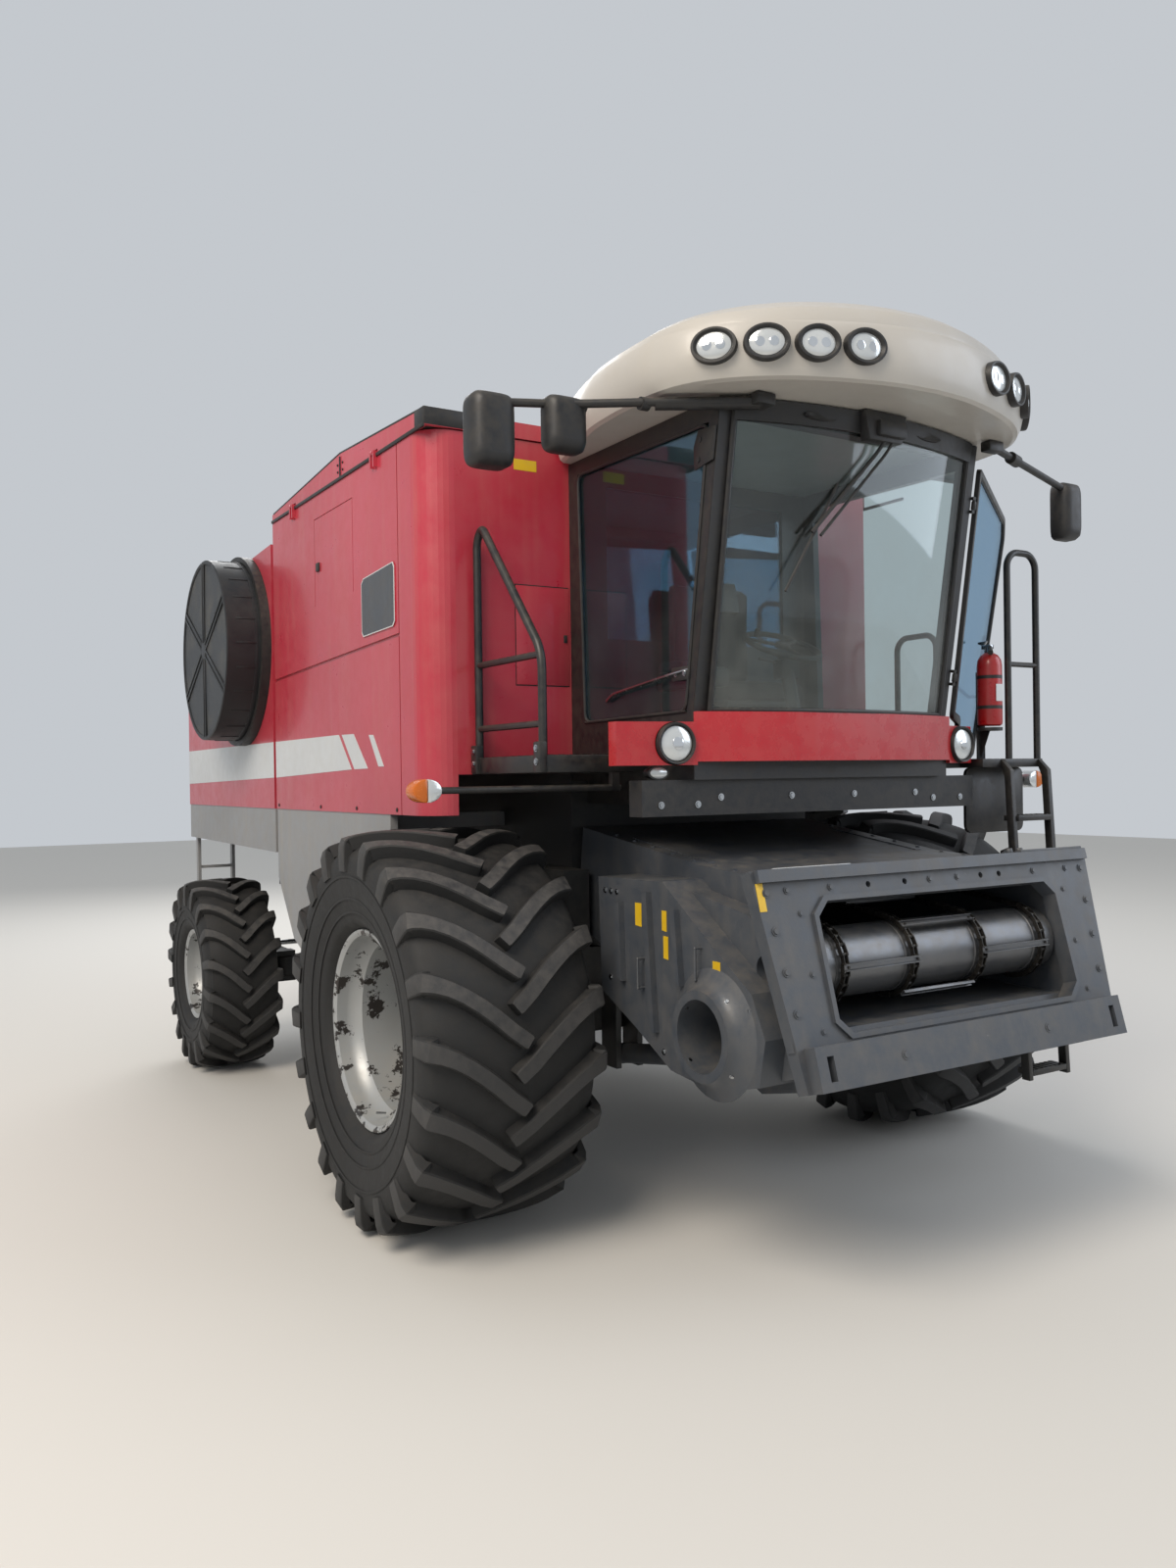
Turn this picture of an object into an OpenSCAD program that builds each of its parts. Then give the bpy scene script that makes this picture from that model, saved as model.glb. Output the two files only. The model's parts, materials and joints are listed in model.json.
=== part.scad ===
// Combine harvester without its header, on wheels.
// Millimetres. X is across, +Y is towards the rear, Z is up from the ground.
// Y is measured from the front axle inside the modules, and at_axle() shifts it.

/* [Overall] */
// front axle to the front of the header adapter
front_overhang = 2050; // [2000:5:2100]
// front axle to rear axle
wheelbase = 3760; // [3700:10:3850]
// rear axle to the tip of the straw spreader
rear_overhang = 1490; // [1450:5:1550]
// half of the width over the front tyres
half_width = 2000; // [1980:5:2050]

/* [Wheels] */
// radius of a front tyre over its lugs
front_tyre_r = 945; // [925:1:960]
// width of a front tyre
front_tyre_w = 875; // [850:1:890]
// radius of the front rim at the bead
front_rim_r = 480; // [460:1:500]
// radius of a rear tyre over its lugs
rear_tyre_r = 700; // [680:1:715]
// width of a rear tyre
rear_tyre_w = 540; // [500:1:560]
// radius of the rear rim at the bead
rear_rim_r = 330; // [310:1:345]
// centre plane to the outer face of a rear tyre
rear_half_width = 1900; // [1880:5:1920]
// centre plane to a rear kingpin
kingpin_x = 1150; // [1130:1:1160]

/* [Body] */
// centre plane to the outside of a side panel
body_half = 1610; // [1600:1:1640]
// lower edge of the red side panels
panel_bottom = 1950; // [1930:1:1980]
// upper edge of the front side panels
panel_top = 3830; // [3800:5:3880]
// thickness of a side panel
panel_t = 40; // [30:1:50]
// front edge of the front side panels, behind the front axle
panel_front = 265; // [240:1:290]
// middle of the gap between front and rear side panels
panel_gap = 2410; // [2380:1:2440]
// width of that gap
gap_w = 50; // [30:1:70]
// rear edge of the rear side panels
panel_rear = 4830; // [4800:1:4860]
// half width of the threshing body between the wheels
core_half = 800; // [780:1:820]
// underside of the threshing body
core_bottom = 1250; // [1230:1:1280]

/* [Screen] */
// rotary screen centre behind the front axle
screen_y = 3120; // [3080:1:3160]
// rotary screen centre height
screen_z = 3050; // [3030:1:3070]
// rotary screen radius
screen_r = 625; // [600:1:640]

/* [Cab] */
// half width of the cab at its side windows
cab_half = 800; // [790:1:815]
// top of the cab floor
cab_floor = 2190; // [2180:1:2205]
// half width of the cab roof
roof_half = 1080; // [1060:1:1100]
// cab door opening as parked
door_open = 58; // [50:1:60]

/* [Feeder] */
// half width of the feeder house outside
feeder_half = 760; // [750:1:770]
// feeder wall thickness
feeder_wall = 25; // [20:1:30]
// feeder drum radius
drum_r = 150; // [140:1:160]

/* [Hidden] */

axle_y = front_overhang - (front_overhang + wheelbase + rear_overhang) / 2;
front_wheel_x = half_width - front_tyre_w / 2;
rear_wheel_x = rear_half_width - rear_tyre_w / 2;
gap0 = panel_gap - gap_w / 2;
gap1 = panel_gap + gap_w / 2;
inner = body_half - panel_t;
core_top = panel_bottom + 400;
tank_front_y = -75;
red = "#b01e2c";
grey = "#8e9294";
slate = "#4b5156";
dark = "#25282a";

module at_axle() { translate([0, axle_y, 0]) children(); }
module box(x0, x1, y0, y1, z0, z1) { translate([x0, y0, z0]) cube([x1 - x0, y1 - y0, z1 - z0]); }
module both() {
    children();
    mirror([1, 0, 0]) children();
}
module side_plate(x0, t, pts) { translate([x0, 0, 0]) rotate([90, 0, 90]) linear_extrude(t) polygon(pts); }
module xcyl(x0, x1, y, z, r) { translate([x0, y, z]) rotate([0, 90, 0]) cylinder(h = x1 - x0, r = r, $fn = 40); }
module xring(x0, x1, y, z, r, ri) {
    difference() {
        xcyl(x0, x1, y, z, r);
        xcyl(x0 - 1, x1 + 1, y, z, ri);
    }
}
module bar(a, b, r) {
    d = b - a;
    translate(a) rotate([0, acos(d[2] / norm(d)), atan2(d[1], d[0])]) cylinder(h = norm(d), r = r, $fn = 24);
}
module tube(pts, r) {
    for (i = [0 : len(pts) - 2]) bar(pts[i], pts[i + 1], r);
    for (i = [1 : len(pts) - 2]) translate(pts[i]) sphere(r = r * 1.12, $fn = 24);
}
module flat_plan(z0, t, pts) { translate([0, 0, z0]) linear_extrude(t) polygon(pts); }

// chassis: front axle with final drives, side rails, feeder pivots, rear axle hangers
pivot_y = -110;
pivot_z = 1600;
axle_z = front_tyre_r;
lift_base = [-210, 700];
lift_eye = [-1150, 860];
lift_x = 600;
module chassis() {
    color(dark) at_axle() {
        box(-1000, 1000, -130, 130, axle_z - 130, axle_z + 130);
        both() {
            box(core_half, core_half + 150, -220, 220, axle_z - 220, pivot_z + 60);
            xcyl(core_half + 149, front_wheel_x - 80, 0, axle_z, 190);
            xcyl(front_wheel_x - 81, front_wheel_x + 50, 0, axle_z, 90);
            xcyl(feeder_half - 60, core_half + 1, pivot_y, pivot_z, 45);
            box(core_half - 130, core_half - 50, -130, wheelbase + 300, axle_z + 129, core_bottom);
            box(core_half - 120, core_half - 60, wheelbase - 190, wheelbase + 190, 960, core_bottom - 100);
            for (x = [lift_x - 80, lift_x + 50])
                box(x, x + 30, lift_base[0] - 60, -129, lift_base[1] - 60, axle_z + 100);
            xcyl(lift_x - 80, lift_x + 80, lift_base[0], lift_base[1], 30);
        }
        for (y = [wheelbase - 190, wheelbase + 70]) {
            box(-90, 90, y, y + 120, 580, 1090);
            box(-core_half + 119, core_half - 119, y, y + 120, 960, 1090);
        }
    }
}

// threshing body between the wheels, open at the feeder throat and under the straw hood
straw_y = 3950;
module separator_housing() {
    color(dark) at_axle() difference() {
        side_plate(-core_half, 2 * core_half, [[-55, core_bottom], [4400, core_bottom], [4400, 1950],
            [panel_rear - 150, 1980], [panel_rear - 150, core_top], [-55, core_top]]);
        side_plate(-feeder_half + 60, 2 * feeder_half - 120, [[-56, 1330], [600, 1400], [600, 1780], [-56, 1830]]);
        side_plate(-core_half + 40, 2 * core_half - 80, [[straw_y, core_bottom - 1], [4360, core_bottom - 1],
            [4360, 2240], [straw_y, 2240]]);
    }
}

// grain tank, open on top, its left front corner cut like the wall's
tank_floor = core_top;
tank_half = inner - 20;
tank_y0 = tank_front_y + 40;
cut_x = body_half - 330;
module tank_plan(gap, y1) {
    polygon([[-tank_half + gap, tank_y0 + 130], [-tank_half + 130, tank_y0 + gap], [cut_x - 30 - gap / 2, tank_y0 + gap],
        [tank_half - gap, tank_y0 + tank_half - cut_x + 30 + gap / 2], [tank_half - gap, y1], [-tank_half + gap, y1]]);
}
module grain_tank() {
    color(grey) at_axle() difference() {
        translate([0, 0, tank_floor]) linear_extrude(panel_top - 20 - tank_floor) tank_plan(0, gap0 - 30);
        translate([0, 0, tank_floor + 700]) linear_extrude(1500) tank_plan(20, gap0 - 50);
        side_plate(-tank_half + 420, 2 * tank_half - 840, [[tank_y0 + 20, tank_floor + 701],
            [900, tank_floor + 160], [1200, tank_floor + 160], [gap0 - 50, tank_floor + 701]]);
    }
}

// red wall behind the cab: right corner rounded, left corner cut
wall_bottom = 2150;
corner_r = 160;
function corner(r) = [for (a = [180 : 10 : 270])
    [-body_half + corner_r + r * cos(a), tank_front_y + corner_r + r * sin(a)]];
module tank_front() {
    post_y = panel_front - 10;
    color(red) at_axle() difference() {
        flat_plan(panel_bottom, panel_top - panel_bottom, concat([[-body_half, post_y]], corner(corner_r),
            [[cut_x, tank_front_y], [body_half, tank_front_y + body_half - cut_x],
            [body_half, post_y + 110], [inner, post_y + 110], [inner, tank_front_y + body_half - cut_x + 17],
            [cut_x - 17, tank_front_y + panel_t]],
            [for (k = [9 : -1 : 0]) corner(corner_r - panel_t)[k]], [[-inner, post_y]]));
        box(-body_half + corner_r, cut_x, tank_front_y - 1, tank_front_y + panel_t + 1, 0, wall_bottom);
        box(-core_half, core_half, tank_front_y - 1, tank_front_y + panel_t + 1, 0, core_top);
    }
}

// hinges of the tank covers: forks on the panels, sleeves on the covers
cover_z = panel_top + 6;
hinge_x = body_half + 14;
hinge_z = cover_z + 10;
cover_hinges = [520, 1900];
module ycyl(x, y0, y1, z, r) { translate([x, y0, z]) rotate([-90, 0, 0]) cylinder(h = y1 - y0, r = r, $fn = 32); }
module cover_forks() {
    for (y = cover_hinges) {
        for (d = [0, 45]) box(body_half - 1, hinge_x + 8, y + d, y + d + 15, panel_top - 60, hinge_z + 8);
        ycyl(hinge_x, y + 1, y + 59, hinge_z, 6);
    }
}

// front side panels; the left one starts behind the cut corner
module panel_ribs(ys, z0, z1, x1) { for (y = ys) box(-inner - 0, -x1, y, y + 40, z0, z1); }
// outline of the service door in the right panel: y0, y1, z0, z1 of each groove
door_lines = [[900, 1550, 3684, 3690], [900, 906, 3170, 3690], [1544, 1550, 3170, 3690]];
module front_side_panels() {
    left_front = panel_front + 110;
    color(red) at_axle() {
        for (m = [0, 1]) mirror([m, 0, 0]) difference() {
            side_plate(-body_half, panel_t, [[m ? left_front : panel_front, panel_bottom], [gap0, panel_bottom],
                [gap0, panel_top], [m ? left_front : panel_front, panel_top]]);
            side_plate(-body_half - 1, 13, [[left_front - 120, 2872], [gap0 + 1, 2800], [gap0 + 1, 2782], [left_front - 120, 2854]]);
            if (m == 0) for (d = door_lines) side_plate(-body_half - 1, 7, [[d[0], d[2]], [d[1], d[2]], [d[1], d[3]], [d[0], d[3]]]);
        }
        side_plate(-body_half - 5, 6, [[300, 2935], [300, 3215], [330, 3245], [740, 3215], [765, 3190], [765, 2925],
            [740, 2900], [330, 2910]]);
        panel_ribs([500, 1400, gap0 - 130], tank_floor + 50, panel_top - 60, tank_half);
        mirror([1, 0, 0]) panel_ribs([500, 1400, gap0 - 130], tank_floor + 50, panel_top - 60, tank_half);
        both() cover_forks();
    }
}

// rear side panels, the right one with the round opening of the screen
rear_top = 3700;
module rear_side_panels() {
    outline = [[gap1, panel_bottom], [panel_rear, panel_bottom], [panel_rear, rear_top - 120], [gap1, rear_top]];
    color(red) at_axle() {
        difference() {
            side_plate(-body_half, panel_t, outline);
            xcyl(-body_half - 1, -inner + 1, screen_y, screen_z, screen_r + 45);
        }
        side_plate(inner, panel_t, outline);
    }
}

// grey skirts under the red panels, with arms to the threshing body
skirt_drop = 290;
skirt_x = inner - 5;
module lower_skirts() {
    color(grey) at_axle() both() {
        side_plate(-body_half + 5, panel_t, [[gap1, panel_bottom - skirt_drop],
            [panel_rear, panel_bottom - skirt_drop + 20], [panel_rear, panel_bottom], [gap1, panel_bottom]]);
        difference() {
            side_plate(-body_half + 5, panel_t, [[panel_front + 160, panel_bottom], [panel_front + 160, 1500],
                [700, 1100], [1900, 1060], [2080, 1130], [gap0, 1500], [gap0, panel_bottom]]);
            xcyl(-body_half, -skirt_x + 1, 0, axle_z, front_tyre_r + 75);
        }
        for (y = [700, 1500, gap0 - 120, gap1 + 120, 3700, 4500]) box(-skirt_x - 1, -core_half, y, y + 60, 1860, 1940);
    }
}

// rear hood with engine deck and rear wall
module rear_hood() {
    color(red) at_axle() difference() {
        side_plate(-inner, 2 * inner, [[gap1, panel_bottom + 30], [panel_rear, panel_bottom + 30],
            [panel_rear, rear_top - 160], [gap1, rear_top - 40]]);
        side_plate(-inner - 1, 2 * inner + 2, [[gap1 - 1, panel_bottom + 29], [panel_rear - 150, panel_bottom + 29],
            [panel_rear - 150, 3460], [gap1 - 1, 3520]]);
        for (z = [2900 : 90 : 3260]) box(-1150, 1150, panel_rear - 25, panel_rear + 1, z, z + 40);
        for (y = [2750 : 120 : 3470]) box(-250, 1150, y, y + 45, 3600, 3800);
    }
}

// engine as one plain block on the threshing body
module engine() { color(dark) at_axle() box(-450, 650, 2650, 3600, core_top, 3400); }

// box behind the screen with its round duct, ring and spindle
module screen_housing() {
    color(dark) at_axle() {
        difference() {
            box(-inner, -core_half, screen_y - 640, screen_y + 640, core_top, 3440);
            xcyl(-inner - 1, -core_half - 60, screen_y, screen_z, 380);
        }
        xring(-body_half - 60, -inner, screen_y, screen_z, screen_r + 40, screen_r + 6);
        xcyl(-body_half - 250, -core_half - 50, screen_y, screen_z, 30);
    }
    color(dark) at_axle() box(-core_half - 1, -450, screen_y - 300, screen_y + 300, 2700, 3300);
}

// turning screen drum: face, rim, hub and spokes
screen_face = -1885;
module rotary_screen() {
    color(dark) at_axle() {
        xring(screen_face, -body_half - 10, screen_y, screen_z, screen_r, screen_r - 12);
        difference() {
            union() {
                xcyl(screen_face, screen_face + 12, screen_y, screen_z, screen_r - 5);
                xcyl(screen_face, screen_face + 120, screen_y, screen_z, 60);
            }
            xcyl(screen_face + 25, screen_face + 121, screen_y, screen_z, 30.05);
        }
        for (a = [0 : 60 : 300], d = [-20, 8]) translate([screen_face, screen_y, screen_z]) rotate([a, 0, 0])
            translate([-8, d, 40]) cube([21, 12, screen_r - 60]);
        for (x = [-body_half - 40, -body_half - 90]) xring(x, x + 14, screen_y, screen_z, screen_r + 4, screen_r - 6);
        for (a = [0 : 30 : 330]) translate([screen_face + 60, screen_y, screen_z]) rotate([a, 0, 0])
            translate([0, -6, screen_r - 3]) cube([130, 12, 7]);
    }
}

// chopper under the hood and the spreader behind it
module straw_chopper() {
    spread_y = wheelbase + rear_overhang;
    color(dark) at_axle() {
        difference() {
            side_plate(-core_half + 60, 2 * core_half - 120, [[4400, 1900], [4400, 1500], [4620, 1250], [5000, 1250],
                [5040, 1420], [4660, 1900]]);
            side_plate(-core_half + 100, 2 * core_half - 200, [[4399, 1860], [4399, 1560], [4640, 1290], [5041, 1290],
                [5041, 1360], [4700, 1800], [4640, 1860]]);
        }
        side_plate(-core_half + 60, 40, [[4940, 1290], [spread_y, 1200], [spread_y, 1290], [4960, 1400]]);
        side_plate(core_half - 100, 40, [[4940, 1290], [spread_y, 1200], [spread_y, 1290], [4960, 1400]]);
        side_plate(-core_half + 60, 2 * core_half - 120, [[4940, 1390], [spread_y, 1280], [spread_y, 1300], [4940, 1410]]);
        for (x = [-500 : 200 : 500]) side_plate(x - 6, 12, [[4990, 1320], [spread_y - 20, 1225], [spread_y - 20, 1290],
            [4990, 1395]]);
    }
}

// ladder to the engine deck at the right rear corner
module rear_ladder() {
    color(grey) at_axle() {
        for (x = [-body_half + 60, -body_half + 340]) box(x, x + 25, panel_rear, panel_rear + 60, 1100, 3300);
        for (z = [1150 : 260 : 3230]) box(-body_half + 60, -body_half + 365, panel_rear + 10, panel_rear + 50, z, z + 25);
    }
}

// tank covers, hollow underneath, hinged along the outer edges
module cover(s) {
    x0 = s > 0 ? 4 : -body_half;
    x1 = s > 0 ? body_half : -4;
    outer = [[tank_front_y - 10, cover_z], [gap0, cover_z], [gap0, 3880], [1080, 3975], [tank_front_y - 10, 3915]];
    hollow = [[tank_front_y + 15, cover_z - 1], [gap0 - 25, cover_z - 1], [gap0 - 25, 3862], [1080, 3950],
        [tank_front_y + 15, 3892]];
    difference() {
        side_plate(x0, x1 - x0, outer);
        side_plate(x0 + 25, x1 - x0 - 50, hollow);
        if (s > 0) translate([cut_x, tank_front_y - 10, 3000]) rotate([0, 0, 45])
            translate([0, -1000, 0]) cube([2000, 1000, 2000]);
        mirror([s > 0 ? 0 : 1, 0, 0]) for (y = cover_hinges)
            box(hinge_x - 30, hinge_x + 20, y - 6, y + 66, cover_z - 1, hinge_z + 18);
    }
    mirror([s > 0 ? 0 : 1, 0, 0]) for (y = cover_hinges) difference() {
        union() {
            ycyl(hinge_x, y + 17, y + 43, hinge_z, 11);
            box(hinge_x - 36, hinge_x, y + 17, y + 43, hinge_z - 6, hinge_z + 7);
        }
        ycyl(hinge_x, y, y + 60, hinge_z, 6.05);
    }
}
module tank_cover_right() { color(red) at_axle() cover(-1); }
module tank_cover_left() { color(red) at_axle() cover(1); }

// turret of the unloading auger on the left side and the folded auger itself
auger_x = body_half + 180;
auger_y = 800;
auger_z = 3440;
module auger_turret() {
    color(red) at_axle() {
        translate([auger_x, auger_y, 2300]) cylinder(h = 850, r = 150, $fn = 48);
        translate([auger_x, auger_y, 2300]) sphere(r = 150, $fn = 48);
        difference() {
            box(body_half, auger_x, auger_y - 80, auger_y + 80, 2240, 2440);
            translate([auger_x, auger_y, 2300]) cylinder(h = 300, r = 149, $fn = 48);
        }
        box(body_half, auger_x - 100, auger_y - 60, auger_y + 60, 3000, 3060);
        translate([auger_x, auger_y, 3149]) cylinder(h = 60, r = 60, $fn = 48);
    }
}
module unloading_auger() {
    tip_y = auger_y + 3900;
    color(red) at_axle() {
        difference() {
            translate([auger_x, auger_y, 3156]) cylinder(h = auger_z - 3156, r = 165, $fn = 48);
            translate([auger_x, auger_y, 3150]) cylinder(h = 61, r = 60.05, $fn = 48);
        }
        translate([auger_x, auger_y, auger_z]) sphere(r = 170, $fn = 48);
        translate([auger_x, auger_y, auger_z]) rotate([-90, 0, 0]) cylinder(h = tip_y - auger_y, r = 165, $fn = 48);
        box(auger_x - 150, auger_x + 150, tip_y - 300, tip_y + 60, auger_z - 320, auger_z);
    }
}

// steered rear axle
axle_r_z = rear_tyre_r;
module rear_axle() {
    color(dark) at_axle() {
        box(-kingpin_x + 60, kingpin_x - 60, wheelbase - 70, wheelbase + 70, axle_r_z - 70, axle_r_z + 70);
        both() {
            difference() {
                translate([kingpin_x, wheelbase, axle_r_z - 70]) cylinder(h = 140, r = 80, $fn = 48);
                translate([kingpin_x, wheelbase, axle_r_z - 71]) cylinder(h = 142, r = 40.05, $fn = 48);
            }
            difference() {
                box(120, 220, wheelbase + 69, wheelbase + tie_y + 45, axle_r_z - 20, tie_z + 45);
                box(119, 221, wheelbase + 71, wheelbase + tie_y - 46, axle_r_z + 70, tie_z + 46);
                xcyl(119, 221, wheelbase + tie_y, tie_z, 20.05);
            }
        }
        difference() {
            xcyl(-219, 219, wheelbase + tie_y, tie_z, 44);
            xcyl(-220, 220, wheelbase + tie_y, tie_z, 20.05);
        }
    }
}
tie_y = 260;
tie_z = rear_tyre_r + 142;
module tie_rod() {
    color("#c8cacc") at_axle() {
        xcyl(-kingpin_x + 30, kingpin_x - 30, wheelbase + tie_y, tie_z, 20);
        both() translate([kingpin_x, wheelbase + tie_y, tie_z - 20]) cylinder(h = 40, r = 38, $fn = 40);
    }
}
module knuckle(s) {
    color(dark) at_axle() mirror([s > 0 ? 0 : 1, 0, 0]) {
        box(kingpin_x - 60, kingpin_x + 110, wheelbase - 60, wheelbase + 60, axle_r_z + 76, axle_r_z + 116);
        box(kingpin_x - 60, kingpin_x + 110, wheelbase - 60, wheelbase + 60, axle_r_z - 116, axle_r_z - 76);
        box(kingpin_x + 90, kingpin_x + 130, wheelbase - 60, wheelbase + 60, axle_r_z - 116, axle_r_z + 116);
        translate([kingpin_x, wheelbase, axle_r_z - 110]) cylinder(h = 220, r = 40, $fn = 48);
        box(kingpin_x - 40, kingpin_x + 40, wheelbase + 59, wheelbase + tie_y + 40, axle_r_z + 76, axle_r_z + 116);
        xcyl(kingpin_x + 129, rear_wheel_x + 60, wheelbase, axle_r_z, 60);
    }
}
module knuckle_right() { knuckle(-1); }
module knuckle_left() { knuckle(1); }

// rims and tyres: profiles turned about the wheel axis, x outwards
module rim(s, x, y, z, r, w, bore, hub) {
    color("#b9bcbd") at_axle() translate([s * x, y, z]) rotate([0, 90 * s, 0]) difference() {
        union() {
            rotate_extrude($fn = 72) polygon([[r - 22, -w / 2], [r + 22, -w / 2], [r + 22, -w / 2 + 14], [r, -w / 2 + 14],
                [r, w / 2 - 14], [r + 22, w / 2 - 14], [r + 22, w / 2], [r - 22, w / 2]]);
            rotate_extrude($fn = 72) polygon([[0, -40], [r - 20, -40], [r - 20, -22], [0, -22]]);
            translate([0, 0, -40]) cylinder(h = 90, r = hub, $fn = 48);
        }
        translate([0, 0, -80]) cylinder(h = 300, r = bore + 0.05, $fn = 48);
    }
}
module rim_front_right() { rim(-1, front_wheel_x, 0, axle_z, front_rim_r - 25, front_tyre_w - 175, 90, 190); }
module rim_front_left() { rim(1, front_wheel_x, 0, axle_z, front_rim_r - 25, front_tyre_w - 175, 90, 190); }
module rim_rear_right() { rim(-1, rear_wheel_x, wheelbase, axle_r_z, rear_rim_r - 20, rear_tyre_w - 120, 60, 120); }
module rim_rear_left() { rim(1, rear_wheel_x, wheelbase, axle_r_z, rear_rim_r - 20, rear_tyre_w - 120, 60, 120); }
// a tyre: carcass, and lugs cut to the tread's curve. n lugs a side, h high, lug wide, lead is their sweep
module tread_ring(R, w, h) {
    rotate([0, 90, 0]) rotate_extrude($fn = 96) polygon([[R - 185, -w / 2], [R - 95, -w / 2], [R - 32, -w / 2 + 26],
        [R - 5, -w * 0.32], [R, -w * 0.225], [R, w * 0.225], [R - 5, w * 0.32], [R - 32, w / 2 - 26], [R - 95, w / 2],
        [R - 185, w / 2], [R - h - 60, w / 4], [R - h - 60, -w / 4]]);
}
module tyre(s, x, y, z, R, w, r, w_in, n, h, lug, lead) {
    color("#1b1c1d") at_axle() translate([s * x, y, z]) {
        rotate([0, 90, 0]) rotate_extrude($fn = 96) polygon([[r, -w_in], [r + 24, -w_in], [r + 50, -w_in - 25],
            [R - 200, -w / 2 + 12], [R - h - 45, -w / 2 + 26], [R - h, -w / 4], [R - h, w / 4], [R - h - 45, w / 2 - 26],
            [R - 200, w / 2 - 12], [r + 50, w_in + 25], [r + 24, w_in], [r, w_in]]);
        intersection() {
            tread_ring(R, w, h);
            for (k = [0 : n - 1], m = [-1, 1]) rotate([(k + m / 4) * 360 / n, 0, 0]) mirror([m < 0 ? 1 : 0, 0, 0])
                translate([0, 0, R - 240]) linear_extrude(300) polygon([[-lug / 3, -lead - lug / 2],
                    [w * 0.2, 0.28 * lead - lug / 2], [w / 2 + 1, lead - lug * 0.4], [w / 2 + 1, lead + lug * 0.4],
                    [w * 0.2, 0.28 * lead + lug / 2], [-lug / 3, -lead + lug / 2]]);
        }
    }
}
module front_tyre(s) {
    tyre(s, front_wheel_x, 0, axle_z, front_tyre_r, front_tyre_w, front_rim_r - 25, front_tyre_w / 2 - 102, 20, 55, 58, 160);
}
module rear_tyre(s) {
    tyre(s, rear_wheel_x, wheelbase, axle_r_z, rear_tyre_r, rear_tyre_w, rear_rim_r - 20, rear_tyre_w / 2 - 75, 18, 42, 44, 110);
}
module tyre_front_right() { front_tyre(-1); }
module tyre_front_left() { front_tyre(1); }
module tyre_rear_right() { rear_tyre(-1); }
module tyre_rear_left() { rear_tyre(1); }

// cab floor with cross beam, sill and rear wall; cab side frames with the header bar
cab_top = 3740;
cab_back = tank_front_y;
lean = 9.1;
side_outline = [[-1125, cab_floor - 80], [cab_back, cab_floor - 80], [cab_back, cab_top], [-1345, cab_top], [-1125, 2430]];
window = [[-1075, 2410], [cab_back - 130, 2400], [cab_back - 90, cab_top - 70], [-1265, cab_top - 90]];
window_pane = [[-1074.8, 2410.2], [cab_back - 130.2, 2400.2], [cab_back - 90.2, cab_top - 70.2],
    [-1264.8, cab_top - 90.2]];
doorway = [[-862, 2424], [-842, cab_floor + 68], [cab_back - 155, cab_floor + 112], [cab_back - 121, cab_top - 166],
    [cab_back - 198, cab_top - 86], [-1270, cab_top - 106], [-1068, 2426]];
// door hinge line on the left front pillar
hinge_a = [cab_half + 18, -1140, 2430];
hinge_v = [0, -sin(lean), cos(lean)];
hinge_s = [180, 1040];
module on_hinge(s) { translate(hinge_a + hinge_v * s) rotate([lean, 0, 0]) children(); }
module cab_floor_frame() {
    color(dark) at_axle() {
        box(-cab_half + 40, cab_half - 40, -1060, cab_back, cab_floor - 80, cab_floor);
        box(-cab_half - 250, cab_half + 250, -1080, -980, 1950, cab_floor - 80);
        for (x = [-700, 600]) box(x, x + 100, -981, -55, 1990, cab_floor - 80);
        difference() {
            box(-cab_half + 40, cab_half - 40, cab_back - 40, cab_back, cab_floor - 1, cab_top);
            box(-600, 600, cab_back - 41, cab_back + 1, 2850, cab_top - 100);
        }
        box(-cab_half + 40, cab_half - 40, -1125, -1059, cab_floor - 80, 2410);
    }
}
module cab_frame() {
    color(dark) at_axle() {
        difference() {
            side_plate(-cab_half, 40, side_outline);
            side_plate(-cab_half - 1, 42, window);
        }
        difference() {
            side_plate(cab_half - 40, 40, side_outline);
            side_plate(cab_half - 41, 42, doorway);
        }
        side_plate(-cab_half + 1, 2 * cab_half - 2, [[-1345, cab_top], [-1335, cab_top - 60], [-1270, cab_top - 60],
            [-1270, cab_top]]);
        for (s = hinge_s) on_hinge(s) {
            for (z = [-40, 25]) translate([-19, -12, z]) cube([19, 24, 15]);
            translate([0, 0, -40]) cylinder(h = 80, r = 8, $fn = 24);
        }
    }
}

// glass: curved windshield, right window, rear window
function shield(d) = [for (k = [-8 : 8]) [k / 8 * (726 + d / 3), -115 * (1 - (k / 8) * (k / 8)) - d]];
module cab_glass() {
    color([0.6, 0.75, 0.75, 0.4]) at_axle() {
        intersection() {
            translate([0, -1121, 2340]) rotate([lean, 0, 0]) linear_extrude(1500)
                polygon(concat(shield(8), [for (k = [16 : -1 : 0]) shield(0)[k]]));
            box(-900, 900, -1700, -900, 2411, cab_top);
        }
        side_plate(-cab_half + 10, 8, window_pane);
        box(-599.8, 599.8, cab_back - 26, cab_back - 18, 2850.2, cab_top - 100.2);
    }
}

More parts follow.
